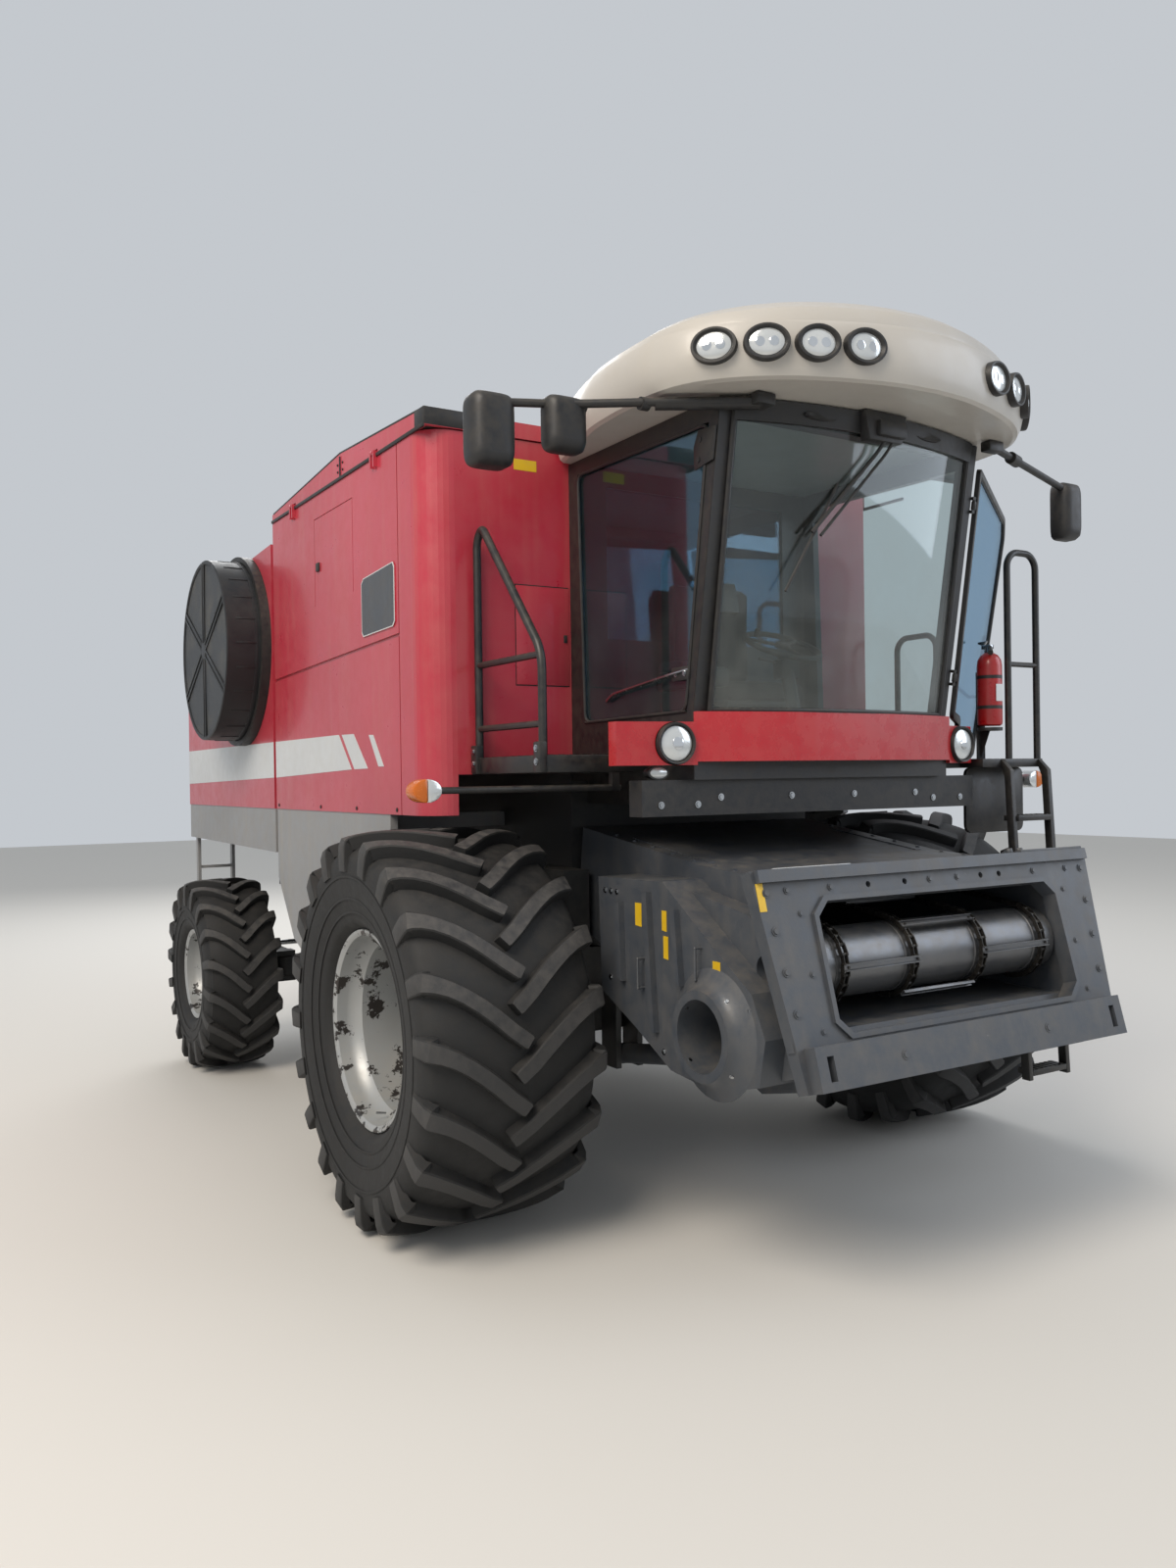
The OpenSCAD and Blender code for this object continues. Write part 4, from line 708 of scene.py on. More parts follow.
mirrorSet = {"heads": [(-1.77, -1.57, -0.975, -0.835, 3.43, 3.74), (-1.47, -1.28, -1.075, -0.965, 3.50, 3.74),
                       (1.60, 1.76, -1.265, -1.15, 3.38, 3.69)],
             # points, radius and bend of each arm
             "arms": [([(-0.66, -1.45, 3.712), (-0.88, -1.335, 3.708), (-1.38, -1.035, 3.701), (-1.70, -0.905, 3.70)],
                       0.018, 0.12),
                      ([(-0.66, -1.44, 3.705), (-0.86, -1.33, 3.70), (-1.05, -1.22, 3.70)], 0.026, 0.1),
                      ([(0.82, -1.43, 3.715), (1.2, -1.33, 3.687), (1.69, -1.2, 3.65)], 0.018, 0.1)],
             "feet": [((-0.71, -1.485, 3.69), (-0.61, -1.395, 3.74), 0.008),
                      ((1.0, -0.93, 3.70), (1.24, -0.87, 3.74), 0.005),
                      ((0.76, -1.46, 3.69), (0.86, -1.40, 3.74), 0.006)],
             "joints": [((1.0, -1.385, 3.70), (1.08, -1.36, 3.695), 0.03),
                        ((-1.33, -1.04, 3.70), (-1.29, -1.04, 3.70), 0.028),
                        ((-1.11, -1.195, 3.702), (-1.07, -1.195, 3.702), 0.028)]}


def makeMirrors(s):
    bm = bmesh.new()
    for points, r, bend in s["arms"]:
        addTube(bm, points, r, bend, 12)
    for lo, hi, edge in s["feet"]:
        addBox(bm, lo, hi, edge)
    for a, b, r in s["joints"]:
        addRod(bm, a, b, r, 16)
    for x0, x1, y0, y1, z0, z1 in s["heads"]:
        part = bmesh.new()
        loops = []
        for y, inset in ((y1, 0.014), (y1 - 0.008, 0.003), (y1 - 0.02, 0.0), (y0 + 0.05, 0.0), (y0 + 0.02, 0.012),
                         (y0 + 0.005, 0.03), (y0, 0.05)):
            w, h = (x1 - x0) / 2 - inset, (z1 - z0) / 2 - inset
            loops.append([((x0 + x1) / 2 + copysign(abs(cos(t)) ** 0.42, cos(t)) * w, y,
                           (z0 + z1) / 2 + copysign(abs(sin(t)) ** 0.3, sin(t)) * h)
                          for t in (u + pi / 40 for u in turns(40))])
        sweepLoops(part, loops)
        joinPart(bm, part)
        addBox(bm, (x0 + 0.018, y1 - 0.004, z0 + 0.022), (x1 - 0.018, y1 - 0.0005, z1 - 0.022), 0.001, 1)
    makePiece("mirrorSet", bm, [blackPlastic, mirrorGlass], "base", ("mirrors",), 30)


makeMirrors(mirrorSet)
print("mirrors made")


panelSet = {"skin": 1.6118,
            "stripes": [[(2.384, 2.155), (2.384, 2.39), (1.17, 2.39), (0.97, 2.19)],
                        [(1.12, 2.388), (0.93, 2.386), (0.72, 2.192), (0.925, 2.19)],
                        [(0.70, 2.372), (0.635, 2.37), (0.49, 2.20), (0.565, 2.20)],
                        [(2.436, 2.155), (2.436, 2.39), (4.825, 2.39), (4.825, 2.12)]],
            "plate": [(0.30, 2.935), (0.30, 3.215), (0.315, 3.24), (0.735, 3.215), (0.765, 3.19), (0.765, 2.925),
                      (0.745, 2.902), (0.325, 2.912)],
            "plateMiddle": (0.5325, 3.072), "plateX": 1.617, "face": 0.965,
            "seal": [(-0.085, 3.824), (2.385, 3.824), (2.385, 3.842), (-0.085, 3.842)]}


def makePanelTrim(s, word):
    bm = bmesh.new()
    skin, lift, plate = s * panelSet["skin"], s * panelSet["plateX"], panelSet["plate"]
    for row in panelSet["stripes"]:
        addPlate(bm, row, skin - s * 0.002, skin)
    if s < 0:
        middle = Vector(panelSet["plateMiddle"])
        face = [tuple(middle + (Vector(p) - middle) * panelSet["face"]) for p in plate]
        addPlate(bm, plate, lift - s * 0.002, lift)
        addPlate(bm, face, lift - s * 0.001, lift + s * 0.0012, "x", 0, 1)
        addBox(bm, (-1.622, 1.455, 3.37), (-1.608, 1.50, 3.42), 0.003, 2)
    addPlate(bm, panelSet["seal"], s * 1.606, s * 1.619, "x", 0.002, 2)
    addBox(bm, (s * 1.58, 1.074, 3.84), (s * 1.6165, 1.084, 3.955), 0, 2)
    addBolts(bm, [(s * 1.61, y, z) for y in (1.039, 1.119) for z in (3.875, 3.915)], (s, 0, 0), 0.005, 0.006, 2)
    addBolts(bm, [(s * 1.61, y, 1.975) for y in (0.32, 0.9, 1.5, 2.33)], (s, 0, 0), 0.008, 0.005, 2)
    makePiece("panelTrim" + word, bm, [stripePaint, slatePaint, blackPlastic], "base")


makePanelTrim(-1, "Right")
makePanelTrim(1, "Left")
print("panel trim made")


screenSet = {"y": 3.12, "z": 3.05, "radius": 0.625, "face": -1.885, "back": -1.62, "band": -1.702,
             "spokes": 6, "ribs": 24}


def makeScreen(s):
    place = (0, s["y"], s["z"])
    r, x0, x1, band = s["radius"], s["face"], s["back"], s["band"]
    bm = bmesh.new()
    beads = [(band + dx, r + dr) for dx, dr in ((0, 0), (0.002, 0.004), (0.015, 0.004), (0.017, 0), (0.05, 0),
                                                (0.052, 0.004), (0.065, 0.004), (0.067, 0))]
    shell = [(x0, r - 0.03), (x0 - 0.006, r - 0.024), (x0 - 0.006, r - 0.008), (x0, r), (x0 + 0.05, r + 0.001), *beads,
             (x1, r), (x1, r - 0.012), (x0 + 0.012, r - 0.012), (x0 + 0.012, r - 0.03)]
    addSpin(bm, shell, place, 96)
    addSpin(bm, [(x0 + 0.004, r - 0.028), (x0 + 0.001, 0.3), (x0, 0.07), (x0 + 0.006, 0.07), (x0 + 0.010, r - 0.028)],
            place, 96, 1)
    addSpin(bm, [(x0 - 0.008, 0.0001), (x0 - 0.008, 0.055), (x0 - 0.002, 0.062), (x0 + 0.02, 0.075), (x0 + 0.02, 0.06),
                 (x0 + 0.12, 0.06), (x0 + 0.12, 0.0305), (x0 + 0.024, 0.0305), (x0 + 0.024, 0.0001)], place, 40)
    for t in turns(s["spokes"]):
        part = bmesh.new()
        for d in (-0.03, 0.014):
            addBox(part, (x0 - 0.008, d, 0.05), (x0 + 0.008, d + 0.016, r - 0.02), 0.002)
        addBox(part, (x0 - 0.001, -0.03, 0.05), (x0 + 0.008, 0.03, r - 0.02))
        joinPart(bm, part, turn=placed(place, t))
    for t in turns(s["ribs"]):
        part = bmesh.new()
        addBox(part, (x0 + 0.06, -0.006, r - 0.003), (-1.695, 0.006, r + 0.004), 0.001)
        joinPart(bm, part, turn=placed(place, t))
    makePiece("airScreenDrum", bm, [screenPaint, screenWire], "screen", ("rotary_screen",), 30)


makeScreen(screenSet)
print("screen made")


chainSet = {"front": (-1.68, 1.35), "rear": (-0.33, 1.59), "frontR": 0.166, "rearR": 0.096, "pitch": 0.0414,
            "strands": (-0.60, -0.21, 0.21, 0.60), "slats": (-0.62, -0.23, 0.19), "slat": 0.43, "shaft": 0.735,
            # a slat's web and two flanges: low and high z, low and high y
            "slatParts": [(-0.002, 0.002, -0.014, 0.014), (-0.012, 0.002, -0.014, -0.011),
                          (-0.012, 0.002, 0.011, 0.014)]}


def chainPath(c):
    front, rear = Vector(c["front"]), Vector(c["rear"])
    d = front - rear
    a, b = atan2(d.y, d.x), acos((c["frontR"] - c["rearR"]) / d.length)
    dense = []
    for center, r, t0, t1 in ((front, c["frontR"], a - b, a + b), (rear, c["rearR"], a + b, a + 2 * pi - b)):
        dense += [center + r * Vector((cos(t), sin(t))) for t in (t0 + (t1 - t0) * k / 40 for k in range(41))]
    dense.append(dense[0])
    total = sum((q - p).length for p, q in zip(dense, dense[1:]))
    count = 2 * round(total / c["pitch"] / 2)
    spots, walked, goal = [], 0.0, 0.0
    for p, q in zip(dense, dense[1:]):
        length = (q - p).length
        while goal <= walked + length and len(spots) < count:
            spots.append(p + (q - p) * ((goal - walked) / max(length, 1e-9)))
            goal += total / count
        walked += length
    return spots


def addSlat(bm, start, turn, s):
    part = bmesh.new()
    for z0, z1, y0, y1 in chainSet["slatParts"]:
        addBox(part, (start, y0, -s * z0), (start + chainSet["slat"], y1, -s * z1), 0.0008, 1)
    for x in (start + 0.02, start + chainSet["slat"] - 0.02):
        addRod(part, (x, 0, -0.012), (x, 0, 0.008), 0.006, 8)
    joinPart(bm, part, turn=turn)


def makeChain(c):
    bm = bmesh.new()
    spots = chainPath(c)
    for x in c["strands"]:
        for i, (p, q) in enumerate(zip(spots, spots[1:] + spots[:1])):
            part = bmesh.new()
            wide = 0.017 if i % 2 else 0.0125
            for s in (-1, 1):
                addBox(part, (s * wide, -0.026, -0.0098), (s * (wide - 0.004), 0.026, 0.0098))
            addRod(part, (-0.019, -0.0207, 0), (0.019, -0.0207, 0), 0.0075, 8)
            joinPart(bm, part, turn=placed((x, *(p + q) / 2), atan2((q - p).y, (q - p).x)))
    front, rear = Vector(c["front"]), Vector(c["rear"])
    d = front - rear
    a = atan2(d.y, d.x)
    for k in range(4):
        share = 0.12 + k * 0.23
        for s in (-1, 1):
            m = rear + d * share - s * Vector((sin(a), -cos(a))) * (0.102 + 0.07 * share)
            for start in c["slats"][k % 2::2]:
                addSlat(bm, start, placed((0, *m), a), s)
    left, middle, right = c["slats"]
    for start, angle in ((left, 178), (right, 178), (middle, 128), (middle, 232)):
        turn = placed((0, *front), radians(angle - 180))
        addSlat(bm, start, turn @ placed((0, -0.178, 0), pi / 2), 1)
    addRod(bm, (-c["shaft"], *rear), (c["shaft"], *rear), 0.03, 24)
    for x in c["strands"]:
        sprocket = [(0.008, 0.0305), (0.008, 0.075), (0.004, 0.086)]
        addSpin(bm, [(x - u, r) for u, r in sprocket] + [(x + u, r) for u, r in reversed(sprocket)], (0, *rear), 36)
        addSpin(bm, [(x - 0.03, 0.0305), (x - 0.03, 0.05), (x + 0.03, 0.05), (x + 0.03, 0.0305)], (0, *rear), 24)
    makePiece("feederChain", bm, [chainSteel, drumSteel], "feeder", ("feeder_chain",), 30)


drumSet = {"half": 0.71, "skin": 0.146, "guide": [(-0.034, 0), (-0.032, 0.004), (-0.022, 0.004), (-0.020, 0.001),
                                                  (0.020, 0.001), (0.022, 0.004), (0.032, 0.004), (0.034, 0)],
           "shaft": 0.0345, "shaftHalf": 0.78, "boltRing": 0.09}


def makeDrum(s):
    bm = bmesh.new()
    place = (0, *chainSet["front"])
    end = [(s["half"], 0.035), (s["half"], s["skin"] - 0.003), (s["half"] - 0.004, s["skin"])]
    profile = [(-u, r) for u, r in end] + [(x + u, s["skin"] + r) for x in chainSet["strands"] for u, r in s["guide"]]
    addSpin(bm, profile + end[::-1], place, 80)
    addRod(bm, (-s["shaftHalf"], *place[1:]), (s["shaftHalf"], *place[1:]), s["shaft"], 32, edge=0.003)
    ring = s["boltRing"]
    for side in (-1, 1):
        spots = [(side * s["half"], place[1] + ring * cos(t), place[2] + ring * sin(t)) for t in turns(6)]
        addBolts(bm, spots, (side, 0, 0), 0.009, 0.009, 1)
    makePiece("feederDrumSkin", bm, [drumSteel, chainSteel], "drum", ("feeder_drum",), 30)


makeChain(chainSet)
makeDrum(drumSet)
print("chain and drum made")


feederSet = {"adapter": (0, -1.76, 1.754), "lean": 15.6, "postBolts": (-0.09, -0.24, -0.40, -0.56),
             "innerBolts": (-0.18, -0.42, -0.64), "bend": (-1.09, 1.73), "slopes": (0.0646, 0.1421),
             "roofBolts": (-1.58, -1.44, -1.30, -1.16, -1.0, -0.84, -0.68, -0.52, -0.36),
             "beamBolts": (-0.85, -0.62, -0.05, 0.12, 0.62, 0.85), "footBolts": (-0.46, 0.40),
             "leftBolts": [(-1.0, 1.70), (-0.84, 1.715), (-0.68, 1.735), (-0.52, 1.755), (-0.36, 1.775), (-0.80, 1.60),
                           (-0.66, 1.60)],
             "rightBolts": [(-0.66, 1.60), (-0.71, 1.60), (-0.76, 1.60), (-1.12, 0.93), (-1.66, 1.0), (-1.70, 1.20),
                            (-0.70, 1.20)],
             "strip": [(-0.45, 1.819), (-1.06, 1.732), (-1.06, 1.738), (-0.45, 1.825)],
             "face": -0.98, "duct": (-1.48, 1.07), "ductBolts": 4,
             # on the adapter frame: corners, edge, material
             "onAdapter": [((-0.91, -0.018, -0.001), (-0.50, 0.012, 0.004), 0.001, 1),
                           ((-1.0, -0.002, -0.16), (-0.965, -0.0005, -0.05), 0, 3),
                           ((0.55, -0.02, -0.001), (0.98, 0.03, 0.012), 0.003, 0)],
             # out from the face, radius
             "bulge": [(-0.001, 0.272), (0.012, 0.250), (0.034, 0.214), (0.056, 0.194), (0.0795, 0.187), (0.0795, 0.18),
                       (-0.001, 0.18)],
             # middle and size of each yellow film
             "films": [(-0.935, 1.51, 0.05, 0.105), (-1.135, 1.50, 0.035, 0.09), (-1.145, 1.385, 0.035, 0.10),
                       (-1.50, 1.335, 0.05, 0.07)]}


def makeFeederTrim(f):
    bm = bmesh.new()
    adapter = placed(f["adapter"], -radians(f["lean"]))
    ahead = adapter.to_3x3() @ Vector((0, -1, 0))
    face, (y0, z0), (bendY, bendZ) = f["face"], f["duct"], f["bend"]
    for s in (-1, 1):
        addBolts(bm, [adapter @ Vector((s * (0.965 + z * 0.09), 0, z)) for z in f["postBolts"]], ahead, 0.012, 0.010)
        addBolts(bm, [adapter @ Vector((s * 0.80, 0, z)) for z in f["innerBolts"]], ahead, 0.009, 0.008)
        for y in f["roofBolts"]:
            slope = f["slopes"][y > bendY]
            addBolt(bm, (s * 0.72, y, bendZ + (y - bendY) * slope), (0, -slope, 1), 0.008, 0.007)
        addPlate(bm, f["strip"], s * 0.64, s * 0.68)
    addBolts(bm, [(0.76, y, z) for y, z in f["leftBolts"]], (1, 0, 0), 0.008, 0.007)
    addBolts(bm, [adapter @ Vector((x, 0, -0.085)) for x in f["beamBolts"]], ahead, 0.010, 0.009)
    addBolts(bm, [adapter @ Vector((x, -0.061, -0.775)) for x in f["footBolts"]], ahead, 0.014, 0.006)
    part = bmesh.new()
    for row in f["onAdapter"]:
        addBox(part, *row)
    for x in (0.50, 0.57):
        addRod(part, (x, 0.005, -0.002), (x, 0.005, 0.024), 0.016, 16, edge=0.003)
    joinPart(bm, part, turn=adapter)
    addSpin(bm, [(face - u, r) for u, r in f["bulge"]], (0, y0, z0), 64)
    for k in range(f["ductBolts"]):
        t = radians(40 + 90 * k)
        inner, outer = ((face - 0.055, y0 + r * cos(t), z0 + r * sin(t)) for r in (0.146, 0.153))
        addRod(bm, inner, outer, 0.008, 12, mat=2)
        addBolt(bm, (face - 0.036, y0 + 0.206 * cos(t), z0 + 0.206 * sin(t)), (-0.6, cos(t), sin(t)), 0.008, 0.008, 2)
    addBolts(bm, [(face, y, z) for y, z in f["rightBolts"]], (-1, 0, 0), 0.009, 0.007, 2)
    for y, z, w, h in f["films"]:
        a, b = w / 2, h / 2
        corners = [(y - a, z - b), (y + a, z - b + 0.004), (y + a, z + b), (y - a, z + b)]
        addPlate(bm, corners, face - 0.0015, face, "x", 0, 3)
    makePiece("feederTrim", bm, [slatePaint, stripePaint, rodSteel, yellowFilm], "feeder")


makeFeederTrim(feederSet)
print("feeder trim made")


deckSet = {"rightRail": [(-1.35, -0.112, 2.225), (-1.35, -0.112, 3.29), (-1.35, -0.17, 3.35), (-1.35, -0.72, 2.72),
                         (-1.35, -0.745, 2.64), (-1.35, -0.745, 2.225)],
           "frontRail": [(1.29, -1.12, 2.19), (1.29, -1.12, 3.25), (1.34, -1.12, 3.30), (1.47, -1.12, 3.30),
                         (1.52, -1.12, 3.25), (1.52, -1.12, 2.19)],
           "sideRail": [(1.52, -0.42, 2.19), (1.52, -0.42, 2.90), (1.52, -0.37, 2.95), (1.52, -0.16, 2.95),
                        (1.52, -0.11, 2.90), (1.52, -0.11, 2.19)],
           "leftDeck": [(0.80, -0.076), (1.54, -0.076), (1.54, -1.14), (1.06, -1.14), (1.06, -0.99), (0.80, -0.99)],
           "guard": [(1.08, 2.151), (1.08, 1.80), (1.54, 1.80), (1.54, 2.151)],
           "stringer": [(-1.14, 2.151), (-1.14, 2.194), (-1.20, 2.135), (-1.30, 0.52), (-1.25, 0.52), (-1.16, 2.105)],
           "steps": 6, "stepRise": 0.265, "stepShift": 0.014}


def addTreads(bm, at, counts, pitch, size):
    for k in range(counts[0]):
        for j in range(counts[1]):
            lo = Vector((at[0] + k * pitch[0], at[1] + j * pitch[1], at[2]))
            addBox(bm, lo, lo + Vector(size))


def makePlatforms(s):
    bm = bmesh.new()
    addBox(bm, (-1.37, -0.77, 2.15), (-0.80, -0.076, 2.23), 0.006)
    addTreads(bm, (-1.32, -0.73, 2.2295), (9, 10), (0.06, 0.068), (0.03, 0.01, 0.004))
    addTube(bm, s["rightRail"], 0.02, 0.09, 14)
    for z in (2.37, 2.68):
        addTube(bm, [(-1.35, -0.112, z), (-1.35, -0.735, z)], 0.016, 0.01, 12)
    for y in (-0.112, -0.745):
        addBox(bm, (-1.385, y - 0.03, 2.15), (-1.345, y + 0.03, 2.29), 0.006)
        addBolts(bm, [(-1.385, y, 2.20), (-1.385, y, 2.26)], (-1, 0, 0), 0.011, 0.008, 1)
    addPlate(bm, s["leftDeck"], 2.15, 2.195, "z", 0.004)
    addTreads(bm, (0.85, -0.95, 2.1945), (11, 14), (0.06, 0.063), (0.03, 0.01, 0.004))
    for rail in (s["frontRail"], s["sideRail"]):
        addTube(bm, rail, 0.018, 0.05, 14)
    addTube(bm, [(1.29, -1.12, 2.70), (1.52, -1.12, 2.70)], 0.014, 0.01, 12)
    addPlate(bm, roundLoop(s["guard"], 0.05), -1.01, -0.99, "y", 0.003)
    for x in (1.20, 1.50):
        addPlate(bm, s["stringer"], x, x + 0.03, "x", 0.003)
    for k in range(s["steps"]):
        y, z = -1.298 + k * s["stepShift"], 0.54 + k * s["stepRise"]
        addBox(bm, (1.229, y, z), (1.501, y + 0.098, z + 0.03), 0.004)
        addTreads(bm, (1.245, y + 0.01, z + 0.0295), (7, 1), (0.036, 0), (0.017, 0.078, 0.0035))
    makePiece("platformsAndRails", bm, [blackPaint, rodSteel], "base", ("platforms",), 30)


makePlatforms(deckSet)
print("platforms made")


bottleSet = {"spot": (1.197, -1.075),
             # radius, height
             "bottle": [(0.0, 2.37), (0.052, 2.37), (0.062, 2.377), (0.0645, 2.39), (0.0645, 2.69), (0.060, 2.72),
                        (0.046, 2.745), (0.026, 2.758), (0.0, 2.76)],
             "neck": [(0.0, 2.755), (0.017, 2.755), (0.017, 2.785), (0.0, 2.787)],
             "foot": [(0.0, 2.345), (0.0645, 2.345), (0.0645, 2.362), (0.0, 2.362)],
             "lever": [(-1.04, 2.80), (-1.008, 2.812), (-1.008, 2.822), (-1.065, 2.824)],
             "bracket": [(-1.0155, 2.20), (-1.075, 2.345), (-1.0155, 2.345)],
             "sign": [(1.172, 2.50), (1.222, 2.50), (1.222, 2.59), (1.172, 2.59)]}


def makeExtinguisher(s):
    bm = bmesh.new()
    addSpinZ(bm, s["bottle"], s["spot"], 40)
    addSpinZ(bm, s["neck"], s["spot"], 24, 1)
    addSpinZ(bm, s["foot"], s["spot"], 32, 2)
    addBox(bm, (1.182, -1.095, 2.78), (1.212, -1.035, 2.803), 0.004, 1)
    addPlate(bm, s["lever"], 1.187, 1.207, "x", 0.002, 1)
    addRod(bm, (1.187, -1.09, 2.79), (1.152, -1.122, 2.755), 0.009, 14, 0.014, 2)
    for z in (2.46, 2.62):
        addSpinZ(bm, [(0.0635, z), (0.065, z), (0.065, z + 0.018), (0.0635, z + 0.018)], s["spot"], 40, 2)
    addBox(bm, (1.165, -1.016, 2.194), (1.229, -1.010, 2.66), 0.001, 2)
    addPlate(bm, s["bracket"], 1.192, 1.198, "x", 0, 2)
    addPlate(bm, s["sign"], -1.1398, -1.1385, "y", 0, 3)
    makePiece("extinguisherBottle", bm, [redSteel, rodSteel, blackPlastic, stripePaint], "base",
              ("fire_extinguisher",), 30)


makeExtinguisher(bottleSet)


doorSet = {"edge": [(-0.88, 2.40), (-0.86, 2.24), (-0.215, 2.288), (-0.18, 3.58), (-0.265, 3.67), (-1.29, 3.65),
                    (-1.085, 2.41)],
           "pane": [(-0.85, 2.436), (-0.828, 2.274), (-0.245, 2.318), (-0.212, 3.568), (-0.28, 3.638), (-1.25, 3.618),
                    (-1.05, 2.44)],
           "rail": [(0.803, -0.30, 2.62), (0.790, -0.33, 2.62), (0.790, -0.42, 2.60), (0.790, -0.88, 2.60),
                    (0.790, -0.97, 2.62), (0.803, -1.0, 2.62)],
           # sections of the frame and of the seal: x, distance inwards
           "frame": [("edge", 0.808, 0.0), ("edge", 0.828, 0.0), ("edge", 0.830, 0.004), ("pane", 0.830, -0.004),
                     ("pane", 0.826, 0.0), ("pane", 0.806, 0.0), ("edge", 0.806, 0.004), ("edge", 0.808, 0.0)],
           "seal": [("pane", 0.808, -0.001), ("pane", 0.824, -0.001), ("pane", 0.824, 0.012), ("pane", 0.808, 0.012),
                    ("pane", 0.808, -0.001)],
           "handle": [((0.806, -0.225, 2.84), (0.829, -0.195, 3.02), 0.003, 2),
                      ((0.788, -0.232, 2.87), (0.808, -0.20, 2.99), 0.005, 2)],
           "middle": (-0.66, 3.0), "hinge": (0.818, -1.14, 2.43), "hinges": (0.18, 1.04), "lean": 9.1, "open": 58}


def makeDoor(d):
    bm = bmesh.new()
    lines = {"edge": roundLoop(d["edge"], 0.03), "pane": roundLoop(d["pane"], 0.022)}
    middle = Vector(d["middle"])
    for section, mat in ((d["frame"], 0), (d["seal"], 2)):
        rows = [[(x, *(p + (middle - p).normalized() * inset)) for p in lines[line]] for line, x, inset in section]
        sweepLoops(bm, rows, caps=False, mat=mat)
    sweepLoops(bm, [[(x, *p) for p in lines["pane"]] for x in (0.812, 0.820)], mat=1)
    addTube(bm, d["rail"], 0.009, 0.03, 10, 2)
    for row in d["handle"]:
        addBox(bm, *row)
    hinge, lean = Vector(d["hinge"]), radians(d["lean"])
    axis = Vector((0, -sin(lean), cos(lean)))
    for along in d["hinges"]:
        part = bmesh.new()
        addRod(part, (0, 0, -0.02), (0, 0, 0.02), 0.011, edge=0.002)
        addBox(part, (-0.008, 0.005, -0.02), (0.008, 0.05, 0.02), 0.002)
        joinPart(bm, part, turn=placed(hinge + axis * along, lean))
    turn = placed(hinge, radians(-d["open"]), axis) @ Matrix.Translation(-hinge)
    bmesh.ops.transform(bm, matrix=turn, verts=bm.verts)
    makePiece("cabDoorFrame", bm, [blackPaint, doorGlass, blackPlastic], "door", ("cab_door",), 30)


makeDoor(doorSet)
print("door made")


padSet = {"cell": 0.013, "pressure": 4.0, "rise": 0.014, "steps": 16, "seam": 0.009, "edge": 0.03,
          # name, corners, x of the seams
          "pads": [("seatCushion", (-0.25, -0.685, 2.505), (0.25, -0.225, 2.60), (-0.15, 0.15)),
                   ("seatBack", (-0.24, -0.255, 2.64), (0.24, -0.178, 3.13), (-0.14, 0.14))]}


# a foam block that swells between its seams under a short cloth run
def makePad(name, lo, hi, seams, p):
    part = boxPart(lo, hi)
    bevelEdges(part, list(part.edges), p["edge"], 4)
    bmesh.ops.translate(part, vec=(0, axleY, 0), verts=part.verts)
    mesh = bpy.data.meshes.new(name)
    part.to_mesh(mesh)
    part.free()
    pad = bpy.data.objects.new(name, mesh)
    bpy.context.scene.collection.objects.link(pad)
    voxels = pad.modifiers.new("voxels", "REMESH")
    voxels.mode, voxels.voxel_size = "VOXEL", p["cell"]
    pad.data = bpy.data.meshes.new_from_object(pad.evaluated_get(bpy.context.evaluated_depsgraph_get()))
    pad.modifiers.clear()
    rest = [v.co.copy() for v in pad.data.vertices]
    group = pad.vertex_groups.new(name="seams")
    group.add([i for i, v in enumerate(rest) if min(abs(v.x - s) for s in seams) < p["seam"] * 0.75], 1.0, "REPLACE")
    cloth = pad.modifiers.new("swell", "CLOTH")
    cloth.settings.use_pressure = True
    cloth.settings.uniform_pressure_force = p["pressure"]
    cloth.settings.effector_weights.gravity = 0
    cloth.settings.vertex_group_mass = "seams"
    for step in range(1, p["steps"] + 1):
        bpy.context.scene.frame_set(step)
    swollen = pad.evaluated_get(bpy.context.evaluated_depsgraph_get()).data
    places = [v.co.copy() for v in swollen.vertices]
    pad.modifiers.clear()
    bpy.context.scene.frame_set(1)
    for v, before, after in zip(pad.data.vertices, rest, places):
        move = after - before
        v.co = before + move.normalized() * min(move.length, p["rise"]) if move.length else before
    for f in pad.data.polygons:
        f.use_smooth = True
    pad.data.materials.clear()
    pad.data.materials.append(seatFabric)
    smooth = pad.modifiers.new("smooth", "SUBSURF")
    smooth.levels = smooth.render_levels = 1
    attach(pad, "base")


for padRow in padSet["pads"]:
    makePad(*padRow, padSet)
print("seat pads made")


